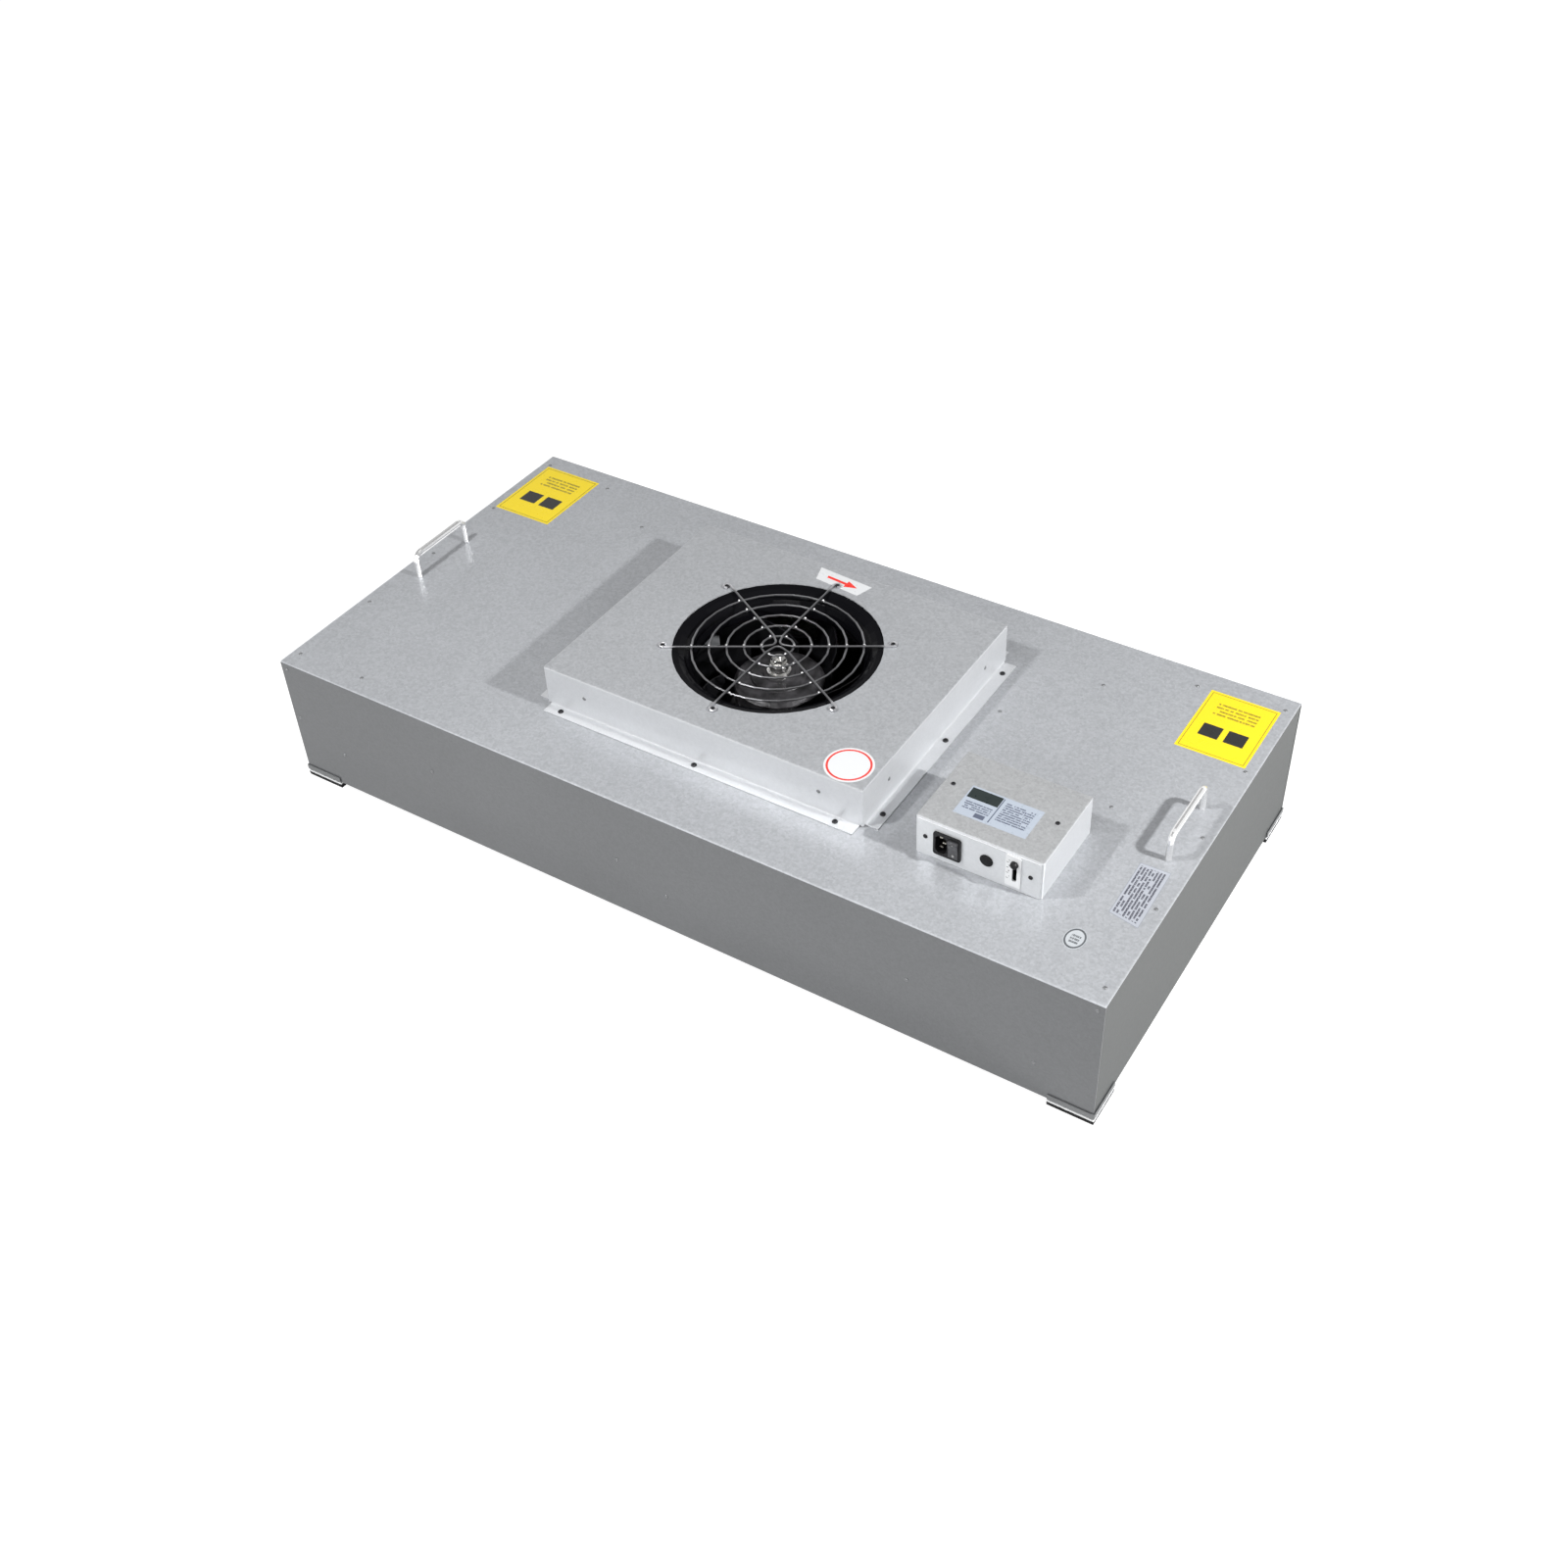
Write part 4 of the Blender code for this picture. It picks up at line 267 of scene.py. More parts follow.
rivet = turned(
    [
        (0.0, -0.0003),
        (RIVET_RADIUS, -0.0003),
        (RIVET_RADIUS, 0.0002),
        (RIVET_RADIUS * 0.93, 0.0005),
        (RIVET_RADIUS * 0.75, 0.0008),
        (RIVET_RADIUS * 0.42, 0.0010),
        (RIVET_RADIUS * 0.34, 0.0006),
        (RIVET_RADIUS * 0.12, 0.0007),
        (0.0, 0.0007),
    ],
    16,
)
row_x = HALF_LENGTH - RIVET_FROM_END
top_rivets = [(side * row_x, y, TOP) for side in (-1, 1) for y in (-0.263, -0.131, 0.0, 0.131, 0.263)]
top_rivets += [(x, y, TOP) for x, y in ((0.462, 0.254), (0.463, -0.0045), (-0.359, 0.197), (-0.470, -0.261))]
top_rivets += [(x, y, TOP) for x, y in ((0.270, 0.086), (-0.270, 0.086), (-0.462, 0.254), (0.359, 0.197))]
wall_x = HALF_LENGTH - RIVET_FROM_FOLD
ends = ((-wall_x, -0.010), (-wall_x, -0.092), (wall_x, -0.010))
front_rivets = [(x, -HALF_WIDTH, TOP + z) for x, z in ends]
front_rivets += [(x, -HALF_WIDTH, TOP + z) for x, z in ((-0.509, -0.128), (-0.348, -0.086), (0.349, -0.091))]
front_rivets += [(x, -HALF_WIDTH, TOP + z) for x, z in ((-0.057, -0.101), (0.014, -0.129), (0.511, -0.136))]
back_rivets = [(-x, HALF_WIDTH, TOP + z) for x, z in ends]
back_rivets += [(x, HALF_WIDTH, TOP + z) for x, z in ((-0.349, -0.091), (0.335, -0.078), (0.057, -0.101))]
heads = [stood(rivet, top_rivets), stood(rivet, front_rivets, FRONT), stood(rivet, back_rivets, BACK)]
skin("housing_rivets", heads, rivet_metal, "unit")


# Corner feet: a folded zinc bracket under each corner, toned as dark as the shaded walls, which is painted
# # shade, on a moulded foot. The foot is pale nylon above and nearly black in a band at its base: partly a
# black
# # rubber sole, partly painted shade along the foot's base.

SOLE_AND_SHADE_HEIGHT = 0.0060


def mottled(tree, shader, tone, value, low, high, darkest, lightest):
    """Base colour: tone times a light that goes from darkest to lightest as value goes from low to high."""
    light = spread(tree, value, low, high, darkest, lightest)
    tree.links.new(shaded(tree, tone, light), shader.inputs["Base Color"])


# The bracket's dark tone is painted shade, matched to the shaded walls.
SHADED_BRACKET_TONE = (0.17, 0.175, 0.18)
shaded_bracket_zinc = zinc_sheet("shaded_bracket_zinc", SHADED_BRACKET_TONE, SHADED_BRACKET_TONE, 1.0, 0.34)
dress(shaded_bracket_zinc, *[f"corner_bracket_{i}" for i in (1, 2, 3, 4)])

foot_moulding, foot_tree, foot_shader = blank_finish("foot_moulding", (0.72, 0.73, 0.74), 0.0, 0.42)
foot_where = place(foot_tree)
foot_height = pattern(foot_tree, "SeparateXYZ", {"Vector": foot_where}).outputs["Z"]
above_dark_band = spread(foot_tree, foot_height, SOLE_AND_SHADE_HEIGHT, SOLE_AND_SHADE_HEIGHT + 0.0002, 0.0, 1.0)
foot_grain = grain(foot_tree, foot_where, 1400.0, 2.0)
# The nearly black band at the foot's base is partly a sole and partly painted shade.
foot_tone = blend_tone(foot_tree, above_dark_band, (0.012, 0.012, 0.013), (0.84, 0.85, 0.86))
mottled(foot_tree, foot_shader, foot_tone, foot_grain, 0.3, 0.7, 0.92, 1.06)
glossed(foot_tree, foot_shader, above_dark_band, 0, 1, 0.85, 0.40)
foot_shader.inputs["Specular IOR Level"].default_value = 0.25
relief(foot_tree, foot_shader, foot_grain, 0.00005, 0.5)
dress(foot_moulding, *[f"corner_foot_{i}" for i in (1, 2, 3, 4)])


# Filter: pleated glass-fibre paper held apart by threads of hot glue, potted into an extruded aluminium
# frame, with a foam gasket on the frame's upper rim and a welded wire grid over the face that blows out.

ALUMINIUM = (0.66, 0.67, 0.69)
extruded, extruded_tree, extruded_shader = blank_finish("extruded_aluminium", ALUMINIUM, 0.75, 0.34)
die_lines = grain(extruded_tree, place(extruded_tree, (6.0, 6.0, 900.0)), 1.0, 2.0)
mottled(extruded_tree, extruded_shader, ALUMINIUM, die_lines, 0.3, 0.7, 0.92, 1.05)
glossed(extruded_tree, extruded_shader, die_lines, 0.3, 0.7, 0.28, 0.42)
relief(extruded_tree, extruded_shader, die_lines, 0.00004, 0.4)
dress(extruded, "filter_frame")

PAPER_TONE = (0.84, 0.84, 0.82)
paper, paper_tree, paper_shader = blank_finish("filter_paper", PAPER_TONE, 0.0, 0.9)
fibres = grain(paper_tree, place(paper_tree), 1600.0, 4.0, 0.7)
mottled(paper_tree, paper_shader, PAPER_TONE, fibres, 0.3, 0.7, 0.93, 1.03)
relief(paper_tree, paper_shader, fibres, 0.00012, 0.6)


def foam(name, tone, roughness, cells, darkest, lightest, depth, strength):
    """Open foam: the distance from the middle of each cell sets how light it is, and gives the relief."""
    finish, tree, shader = blank_finish(name, tone, 0.0, roughness)
    pores = pattern(tree, "TexVoronoi", {"Vector": place(tree), "Scale": cells}).outputs["Distance"]
    mottled(tree, shader, tone, pores, 0.0, 0.7, darkest, lightest)
    relief(tree, shader, pores, depth, strength)
    return finish


dress(foam("gasket_foam", (0.10, 0.10, 0.105), 0.88, 900.0, 0.55, 1.15, 0.0002, 0.8), "filter_gasket")
guard_coat = worn("guard_coat", (0.80, 0.81, 0.80), 0.0, 0.38, 700.0, (0.32, 0.46), (0.00005, 0.5))

PACK_X, PACK_Y, PACK_LOW, PACK_HIGH = 0.5825, 0.2814, 0.0204, 0.0686
PLEAT = 0.0042
PAPER = 0.0004


def pleated(half_x, half_y, low, high, pitch, thickness):
    """Zigzag sheet: height runs from low to high and back once in each pitch along X, and is the same along
    Y. The upper and lower faces are the same zigzag a sheet's thickness apart, joined round into one skin."""
    folds = 2 * int(half_x * 2 / pitch) + 1
    x = np.linspace(-half_x, half_x, folds)
    z = np.where(np.arange(folds) % 2 == 0, low, high)
    gap = thickness * np.hypot(1.0, (high - low) / (pitch / 2.0)) / 2.0
    loop = [(-half_y, -gap), (half_y, -gap), (half_y, gap), (-half_y, gap)]
    sides = [np.stack([x, np.full(folds, y), z + lift], axis=-1) for y, lift in loop]
    return np.stack(sides, axis=1)


def strands(ends, radius, sides=6):
    """Straight round strands: each is a ring of points at its two ends, drawn together to close them."""
    ends = np.asarray(ends, float)
    along = ends[:, 1] - ends[:, 0]
    along = along / np.linalg.norm(along, axis=1, keepdims=True)
    side = np.cross(along, (0.0, 0.0, 1.0))
    side = side / np.linalg.norm(side, axis=1, keepdims=True)
    lift = np.cross(side, along)
    angle = np.linspace(0.0, 2.0 * np.pi, sides, endpoint=False)
    ring = side[:, None] * np.cos(angle)[:, None] + lift[:, None] * np.sin(angle)[:, None]
    rows = [ends[:, 0, None] + 0 * ring, ends[:, 0, None] + radius * ring]
    rows += [ends[:, 1, None] + radius * ring, ends[:, 1, None] + 0 * ring]
    return np.stack(rows, axis=1)


pleats = pleated(PACK_X, PACK_Y, PACK_LOW, PACK_HIGH, PLEAT, PAPER)
pack = skin("pleated_pack", [pleats], paper, "unit")
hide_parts("filter_pack")

THREAD_PITCH, THREAD_RADIUS = 0.026, 0.0009
thread_y = np.arange(-10, 11) * THREAD_PITCH
glue = worn("glue_threads", (0.86, 0.85, 0.80), 0.0, 0.45, 300.0, (0.36, 0.55))
threads = [((-PACK_X, y, z), (PACK_X, y, z)) for y in thread_y for z in (PACK_LOW, PACK_HIGH)]
skin("glue_threads", [strands(threads, THREAD_RADIUS)], glue, "unit")

GRID_X, GRID_Y, GRID_HIGH, GRID_WIRE, GRID_PITCH = 0.5827, 0.2815, 0.0125, 0.0006, 0.0125
long_y = np.arange(-22, 23) * GRID_PITCH
short_x = np.arange(-46, 47) * GRID_PITCH
long_z, short_z = GRID_HIGH - GRID_WIRE, GRID_HIGH + 0.0004
grid_wires = [((-GRID_X, y, long_z), (GRID_X, y, long_z)) for y in long_y]
grid_wires += [((x, -GRID_Y, short_z), (x, GRID_Y, short_z)) for x in short_x]
face_grid = skin("face_grid", [strands(grid_wires, GRID_WIRE)], guard_coat, "unit")
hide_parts("face_guard")


# Ledge, motor plate and lining: the zinc ledge that the filter's gasket seals against, the plate that carries
# the motor on its four hangers, and the grey sound foam glued inside the walls.

INNER_TONE = (0.40, 0.41, 0.43)
inner_zinc = zinc_sheet("inner_zinc", INNER_TONE, INNER_TONE, 1.0, 0.40)
dress(inner_zinc, "seal_ledge", "motor_plate", "hanger_1", "hanger_2", "hanger_3", "hanger_4")
lining = foam("lining_foam", (0.15, 0.155, 0.16), 0.95, 420.0, 0.5, 1.2, 0.0008, 0.9)
dress(lining, "liner_front", "liner_back", "liner_left", "liner_right")


# Inlet box: a shallow folded tray with its own flanges, screwed down over the fan opening. Its level top has
# the
# # crystals of the housing; its folded walls and flanges get a much lighter tone, which is painted light.

INLET_TOP = 0.2535
FLANGE_TOP = 0.1975
BOX_EDGE = 0.0003
INLET_TONE = (0.385, 0.395, 0.412)
# The lighter tone of the walls and flanges is painted light.
INLET_LIT_WALL_TONE = (0.60, 0.612, 0.630)
inlet_zinc = zinc_sheet("inlet_zinc", INLET_TONE, INLET_LIT_WALL_TONE, INLET_TOP - BOX_EDGE, 0.34, wall_grain=0.25)
dress(inlet_zinc, "inlet_box")

BLACKENED_TONE = (0.030, 0.030, 0.033)
blackened = worn("blackened_screws", BLACKENED_TONE, 0.6, 0.38, 1200.0, (0.30, 0.50), (0.00003, 0.5))


def cross_head(radius, height, segments=48):
    """Pan head with a cross recess. The head is a dome turned round +Z; the recess rim is the outline of a
    plus sign in polar form: the farther of the two bars' edges, each the nearer of its side and its end."""
    angle = np.linspace(0.0, 2.0 * np.pi, segments, endpoint=False)
    across, along = np.abs(np.cos(angle)) + 1e-9, np.abs(np.sin(angle)) + 1e-9
    arm, half = 0.62 * radius, 0.15 * radius
    plus = np.maximum(np.minimum(arm / across, half / along), np.minimum(half / across, arm / along))
    rows = [(0.0, -0.0004), (1.0, -0.0004), (1.0, 0.30 * height), (0.94, 0.66 * height)]
    rows = [(share * radius, z) for share, z in rows + [(0.80, 0.90 * height), (0.66, height)]]
    rows += [(plus, height), (0.82 * plus, 0.45 * height), (0.0, 0.35 * height)]
    return np.stack([np.stack([r * np.cos(angle), r * np.sin(angle), 0 * angle + z], -1) for r, z in rows])


flange_places = [(x, side * 0.1887, FLANGE_TOP) for x in (-0.204, -0.002, 0.197) for side in (-1, 1)]
flange_places += [(side * 0.2389, y, FLANGE_TOP) for y in (-0.150, 0.002, 0.1526) for side in (-1, 1)]
flange_screws = stood(cross_head(0.0036, 0.0019), flange_places)
skin("inlet_flange_screws", [flange_screws], blackened, "unit")

INLET_HALF_X, INLET_HALF_Y, WALL_RIVET_HEIGHT = 0.2300, 0.1800, 0.226
wall_rivets = [stood(rivet, [(x, -INLET_HALF_Y, WALL_RIVET_HEIGHT) for x in (-0.170, 0.170)], FRONT)]
wall_rivets += [stood(rivet, [(x, INLET_HALF_Y, WALL_RIVET_HEIGHT) for x in (-0.170, 0.170)], BACK)]
wall_rivets += [stood(rivet, [(INLET_HALF_X, y, WALL_RIVET_HEIGHT) for y in (-0.120, 0.120)], RIGHT)]
wall_rivets += [stood(rivet, [(-INLET_HALF_X, y, WALL_RIVET_HEIGHT) for y in (-0.120, 0.120)], LEFT)]
skin("inlet_wall_rivets", wall_rivets, rivet_metal, "unit")


# Bell mouth: a spun steel ring under the hole of the inlet box, painted gloss black.

BLACK_TONE = (0.004, 0.004, 0.005)
gloss_black = worn("gloss_black", BLACK_TONE, 0.0, 0.14, 160.0, (0.10, 0.24), (0.0001, 0.3), specular=0.05)
dress(gloss_black, "inlet_ring")


# Finger guard: six spokes and five rings of zinc-plated wire, spot welded where they cross and screwed down
# through the eyes at the ends of the spokes.

GUARD_RINGS = (0.0205, 0.0425, 0.0645, 0.0865, 0.1085)
SPOKE_ANGLES = np.radians((30.0, 90.0, 150.0, 210.0, 270.0, 330.0))
EYE_CIRCLE = 0.1445
CROSSING_HEIGHT, EYE_HEIGHT = 0.2540, 0.2547
# The eyes' lighter tone is painted light.
WIRE_TONE, LIT_EYE_TONE = (0.24, 0.24, 0.25), (0.62, 0.62, 0.64)


def distance(tree, where):
    """Length of a place's vector."""
    return pattern(tree, "VectorMath", {0: where}, operation="LENGTH").outputs["Value"]


plated, plated_tree, plated_shader = blank_finish("plated_wire", WIRE_TONE, 0.95, 0.32)
drawn = grain(plated_tree, place(plated_tree), 1500.0, 2.0)
glossed(plated_tree, plated_shader, drawn, 0.3, 0.7, 0.26, 0.40)
relief(plated_tree, plated_shader, drawn, 0.00003, 0.4)
# Beyond 128 mm from the middle the spoke ends and eyes turn lighter: painted light where they lie over the
# sheet.
plated_out = distance(plated_tree, place(plated_tree, (1.0, 1.0, 0.0)))
lit_end_share = spread(plated_tree, plated_out, 0.128, 0.136, 0.0, 1.0)
plated_tone = blend_tone(plated_tree, lit_end_share, WIRE_TONE, LIT_EYE_TONE)
plated_tree.links.new(plated_tone, plated_shader.inputs["Base Color"])
dress(plated, "finger_guard")

weld_angle = np.linspace(-np.pi / 2, np.pi / 2, 7)
weld = turned(np.stack([0.0018 * np.cos(weld_angle), 0.0021 * np.sin(weld_angle)], axis=-1), 10)
crossings = [(r * math.cos(a), r * math.sin(a), CROSSING_HEIGHT) for r in GUARD_RINGS for a in SPOKE_ANGLES]
# The welds' bright steel tone is partly a painted highlight, standing in for the lamps' glints on the rings.
weld_and_glint_metal = worn("weld_spots_and_glints", (0.78, 0.78, 0.79), 1.0, 0.20, 1800.0, (0.14, 0.34))
skin("guard_welds", [stood(weld, crossings)], weld_and_glint_metal, "unit")

eyes = [(EYE_CIRCLE * math.cos(a), EYE_CIRCLE * math.sin(a), EYE_HEIGHT) for a in SPOKE_ANGLES]
skin("guard_screws", [stood(cross_head(0.0030, 0.0017), eyes)], blackened, "unit")


# Fan: an outer-rotor motor in dark lacquer carries a black wheel with seven backward-curved blades. The shaft
# ends in a bright boss with a nut.

WHEEL_TONE = (0.007, 0.007, 0.008)
wheel_black = worn("wheel_black", WHEEL_TONE, 0.0, 0.34, 500.0, (0.26, 0.44), (0.00008, 0.4), specular=0.12)
dress(wheel_black, "impeller")


def tool_marks(tree, along, pitch):
    """Turned surface: a sine of along with one wave in each pitch metres."""
    return sums(tree, "SINE", sums(tree, "MULTIPLY", along, 2 * math.pi / pitch))


LACQUER = (0.024, 0.023, 0.025)
rotor_lacquer, rotor_tree, rotor_shader = blank_finish("rotor_lacquer", LACQUER, 0.25, 0.40)
rotor_dust = grain(rotor_tree, place(rotor_tree), 60.0, 4.0)
rotor_radius = distance(rotor_tree, place(rotor_tree, (1.0, 1.0, 0.0)))
mottled(rotor_tree, rotor_shader, LACQUER, rotor_dust, 0.35, 0.65, 0.5, 2.0)
glossed(rotor_tree, rotor_shader, rotor_dust, 0.3, 0.7, 0.28, 0.46)
relief(rotor_tree, rotor_shader, tool_marks(rotor_tree, rotor_radius, 0.0011), 0.00004, 0.5)
dress(rotor_lacquer, "motor_rotor")


def lathe_steel(name, tone, roughness):
    """Bright turned steel: fine noise in the gloss, and rings cut by the tool, 0.3 mm apart."""
    finish, tree, shader = blank_finish(name, tone, 1.0, roughness)
    where = place(tree)
    fine = grain(tree, where, 1300.0, 2.0)
    height = pattern(tree, "SeparateXYZ", {"Vector": where}).outputs["Z"]
    rings = sums(tree, "MULTIPLY", tool_marks(tree, height, 0.0003), 0.3)
    glossed(tree, shader, fine, 0.3, 0.7, roughness - 0.05, roughness + 0.08)
    relief(tree, shader, sums(tree, "ADD", fine, rings), 0.00002, 0.4)
    return finish


boss_steel = lathe_steel("boss_steel", (0.80, 0.79, 0.77), 0.17)
dress(boss_steel, "motor_shaft")
dress(lathe_steel("bearing_steel", (0.62, 0.62, 0.64), 0.20), "bearing_lower", "bearing_upper")


def nut(flat, height, bore, segments=36):
    """Hexagon nut: the outline is flat / cos of the angle from the nearest flat, chamfered above and below,
    with a round bore."""
    angle = np.linspace(0.0, 2.0 * np.pi, segments, endpoint=False)
    hexagon = flat / np.cos((angle + np.pi / 6) % (np.pi / 3) - np.pi / 6)
    round_edge = np.minimum(hexagon, flat * 1.02)
    low = np.full(segments, bore)
    rows = [(low, 0.0), (round_edge, 0.0), (hexagon, 0.0006), (hexagon, height - 0.0006)]
    rows += [(round_edge, height), (low, height), (low, 0.0)]
    return np.stack([np.stack([r * np.cos(angle), r * np.sin(angle), 0 * angle + z], -1) for r, z in rows])


boss_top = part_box("motor_shaft")[1].z
WASHER = 0.0010
washer = [(0.0050, 0.0), (0.0105, 0.0), (0.0108, 0.0004), (0.0105, WASHER), (0.0050, WASHER), (0.0050, 0.0)]
stud = [(0.0, -0.001), (0.0047, -0.001), (0.0047, 0.0088), (0.0040, 0.0096), (0.0012, 0.0096), (0.0, 0.0088)]
stack = [stood(turned(washer), [(0, 0, boss_top)])]
stack += [stood(nut(0.0080, 0.0055, 0.0046), [(0, 0, boss_top + WASHER)])]
stack += [stood(turned(stud), [(0, 0, boss_top)])]
skin("boss_nut", stack, boss_steel, "fan")

cast = worn("stator_casting", (0.48, 0.48, 0.49), 0.8, 0.5, 500.0, (0.42, 0.62), (0.00015, 0.6), 4.0)
dress(cast, "motor_stator")

ENAMEL_TONE = (0.42, 0.14, 0.05)
enamel, enamel_tree, enamel_shader = blank_finish("winding_enamel", ENAMEL_TONE, 0.7, 0.3)
wires = sums(enamel_tree, "MULTIPLY", grain(enamel_tree, place(enamel_tree), 60.0), 220.0)
wires = sums(enamel_tree, "SINE", wires)
mottled(enamel_tree, enamel_shader, ENAMEL_TONE, wires, -1, 1, 0.6, 1.15)
relief(enamel_tree, enamel_shader, wires, 0.0003, 0.7)
dress(enamel, "winding_lower", "winding_upper")


# Handles: a bow of polished stainless rod at each end, screwed from below through the top sheet.

polished = worn("polished_rod", (0.86, 0.86, 0.86), 0.80, 0.18, 260.0, (0.14, 0.24), (0.00002, 0.1))
dress(polished, "handle_left", "handle_right")
screws = [f"handle_{side}_screw_{end}" for side in ("left", "right") for end in ("front", "back")]
dress(blackened, *screws)


# Electric box: a folded cover open at the back, with the panel screwed into its front and a strap behind it.
# Fine zinc; its upright walls and the panel get a near-white tone, well above that of its top: painted light.

COVER_TOP = 0.2510
PANEL_FACE = -0.1820
# The near-white tones of the panel and the upright walls are painted light.
LIT_PANEL_TONE = (0.72, 0.735, 0.75)
BOX_LIT_WALL_TONE = (0.65, 0.663, 0.68)
box_zinc = zinc_sheet("box_zinc", (0.375, 0.381, 0.388), BOX_LIT_WALL_TONE, COVER_TOP - BOX_EDGE, wall_grain=0.25)
panel_zinc = zinc_sheet("panel_zinc", LIT_PANEL_TONE, LIT_PANEL_TONE, 1.0, 0.34, wall_grain=0.25)
dress(box_zinc, "control_cover")
dress(panel_zinc, "control_panel")
dress(inner_zinc, "control_bracket", "capacitor_clamp")

box_screw = cross_head(0.0028, 0.0014)
box_screws = [stood(box_screw, [(0.312, -0.115, COVER_TOP), (0.444, -0.115, COVER_TOP)])]
box_screws += [stood(box_screw, [(0.3132, PANEL_FACE, 0.2245), (0.4454, PANEL_FACE, 0.2245)], FRONT)]
skin("box_screws", box_screws, blackened, "unit")


# Power inlet: one black moulding with a three-pin socket and a two-position rocker, snapped into the panel.

MOULDED_TONE = (0.009, 0.009, 0.010)
moulded = worn("moulded_black", MOULDED_TONE, 0.0, 0.42, 1600.0, (0.36, 0.52), (0.00004, 0.6), specular=0.25)
dress(moulded, "power_inlet", "speed_switch")
rocker_grey = worn("rocker_grey", (0.060, 0.060, 0.064), 0.0, 0.36, 1600.0, (0.30, 0.46), (0.00003, 0.5))
dress(rocker_grey, "power_rocker")
white_ink = worn("white_ink", (0.72, 0.72, 0.72), 0.0, 0.5, 2500.0, (0.42, 0.6))


def flat_box(centre, size):
    """Thin printed patch: a ring of four corners carried along Z, its two ends drawn together to close it."""
    corners = np.array([(-1, -1), (1, -1), (1, 1), (-1, 1)], float)
    rows = [(0.0, -1.0), (1.0, -1.0), (1.0, 1.0), (0.0, 1.0)]
    half = np.asarray(size, float) / 2
    grid = [np.column_stack([s * corners * half[:2], np.full(4, z * half[2])]) for s, z in rows]
    return np.stack(grid) + np.asarray(centre, float)


# The marks lie on the two slanted halves of the rocker, which stands tilted by ROCKER_TILT at rest.
ROCKER_PIVOT = np.array((0.3498, -0.1820, 0.2225))
ROCKER_TILT = math.radians(8.0)
HALF_SLANT = math.atan2(0.0016, 0.0062)
MARK_OUT, MARK_UP, INK_DEPTH = 0.00434, 0.0090, 0.00008
RING_IN, RING_OUT = 0.0009, 0.0014


def on_rocker(mark, half):
    """A printed mark laid on the upper (half 1) or lower (half -1) face of the rocker at rest. Its place is
    turned about the pivot by ROCKER_TILT, and its normal leans by the slant of that face as well."""
    y, z = -MARK_OUT, half * MARK_UP
    lean = half * HALF_SLANT + ROCKER_TILT
    turn_y = y * math.cos(ROCKER_TILT) - z * math.sin(ROCKER_TILT)
    turn_z = y * math.sin(ROCKER_TILT) + z * math.cos(ROCKER_TILT)
    outward = (0.0, -math.cos(lean), -math.sin(lean))
    return stood(mark, [ROCKER_PIVOT + (0.0, turn_y, turn_z)], outward)


bar_mark = flat_box((0, 0, 0), (0.0007, 0.0030, INK_DEPTH))
ring_corners = [(RING_IN, -1), (RING_OUT, -1), (RING_OUT, 1), (RING_IN, 1), (RING_IN, -1)]
ring_mark = turned([(radius, side * INK_DEPTH / 2) for radius, side in ring_corners])
skin("rocker_bar", [on_rocker(bar_mark, 1)], white_ink, "rocker", sharp=20.0)
skin("rocker_ring", [on_rocker(ring_mark, -1)], white_ink, "rocker", sharp=20.0)

brass, brass_tree, brass_shader = blank_finish("pin_brass", (0.52, 0.49, 0.42), 1.0, 0.24)
rub = grain(brass_tree, place(brass_tree, (1.0, 0.1, 1.0)), 1500.0, 2.0)
glossed(brass_tree, brass_shader, rub, 0.3, 0.7, 0.18, 0.36)
dress(brass, "pin_live", "pin_neutral", "pin_earth")

RUBBER = (0.008, 0.008, 0.009)
rubber = worn("black_rubber", RUBBER, 0.0, 0.62, 800.0, (0.52, 0.74), (0.00005, 0.5), 3.0, specular=0.2)
dress(rubber, "hole_plug", "cable_grommet")


# Speed selector: a thin white plate with a slot, ticks and step numbers, and a black knob that slides in it.

plate_white = worn("plate_white", (0.82, 0.83, 0.84), 0.0, 0.36, 1200.0, (0.32, 0.44))
dress(plate_white, "speed_plate")
dress(moulded, "speed_knob")

PLATE_FACE = -0.1831
TICK_X, NUMBER_X, NUMBER_RISE = 0.4172, 0.4190, 0.0032
STEPS = (0.016, 0.024, 0.032, 0.040)
ink = worn("black_ink", (0.03, 0.03, 0.035), 0.0, 0.5, 2500.0, (0.42, 0.6))
tick = flat_box((0, 0, 0), (0.0026, 0.0006, INK_DEPTH))
ticks = [stood(tick, [(TICK_X, PLATE_FACE, TOP + z)], FRONT) for z in STEPS[::-1]]
skin("speed_ticks", ticks, ink, "unit", sharp=20.0)

# Step numbers 1 to 4 from the lowest step up, each made of straight strokes on a grid of 2 by 3 points.
DIGIT_WIDTH, DIGIT_HEIGHT, DIGIT_LINE = 0.0011, 0.0020, 0.0003
ONE = [((1, 0), (1, 2))]
TWO = [((0, 2), (1, 2)), ((1, 1), (1, 2)), ((0, 1), (1, 1)), ((0, 0), (0, 1)), ((0, 0), (1, 0))]
THREE = [((0, 2), (1, 2)), ((1, 0), (1, 2)), ((0, 1), (1, 1)), ((0, 0), (1, 0))]
FOUR = [((0, 1), (0, 2)), ((0, 1), (1, 1)), ((1, 0), (1, 2))]


def numeral(strokes):
    """Patches of ink for one numeral: each stroke is a patch from one grid point to the next, DIGIT_LINE
    wide."""
    patches = []
    for (x0, y0), (x1, y1) in strokes:
        centre = ((x0 + x1 - 1) / 2 * DIGIT_WIDTH, (y0 + y1 - 2) / 4 * DIGIT_HEIGHT, 0.0)
        size = ((x1 - x0) * DIGIT_WIDTH + DIGIT_LINE, (y1 - y0) / 2 * DIGIT_HEIGHT + DIGIT_LINE, INK_DEPTH)
        patches.append(flat_box(centre, size))
    return np.stack(patches)


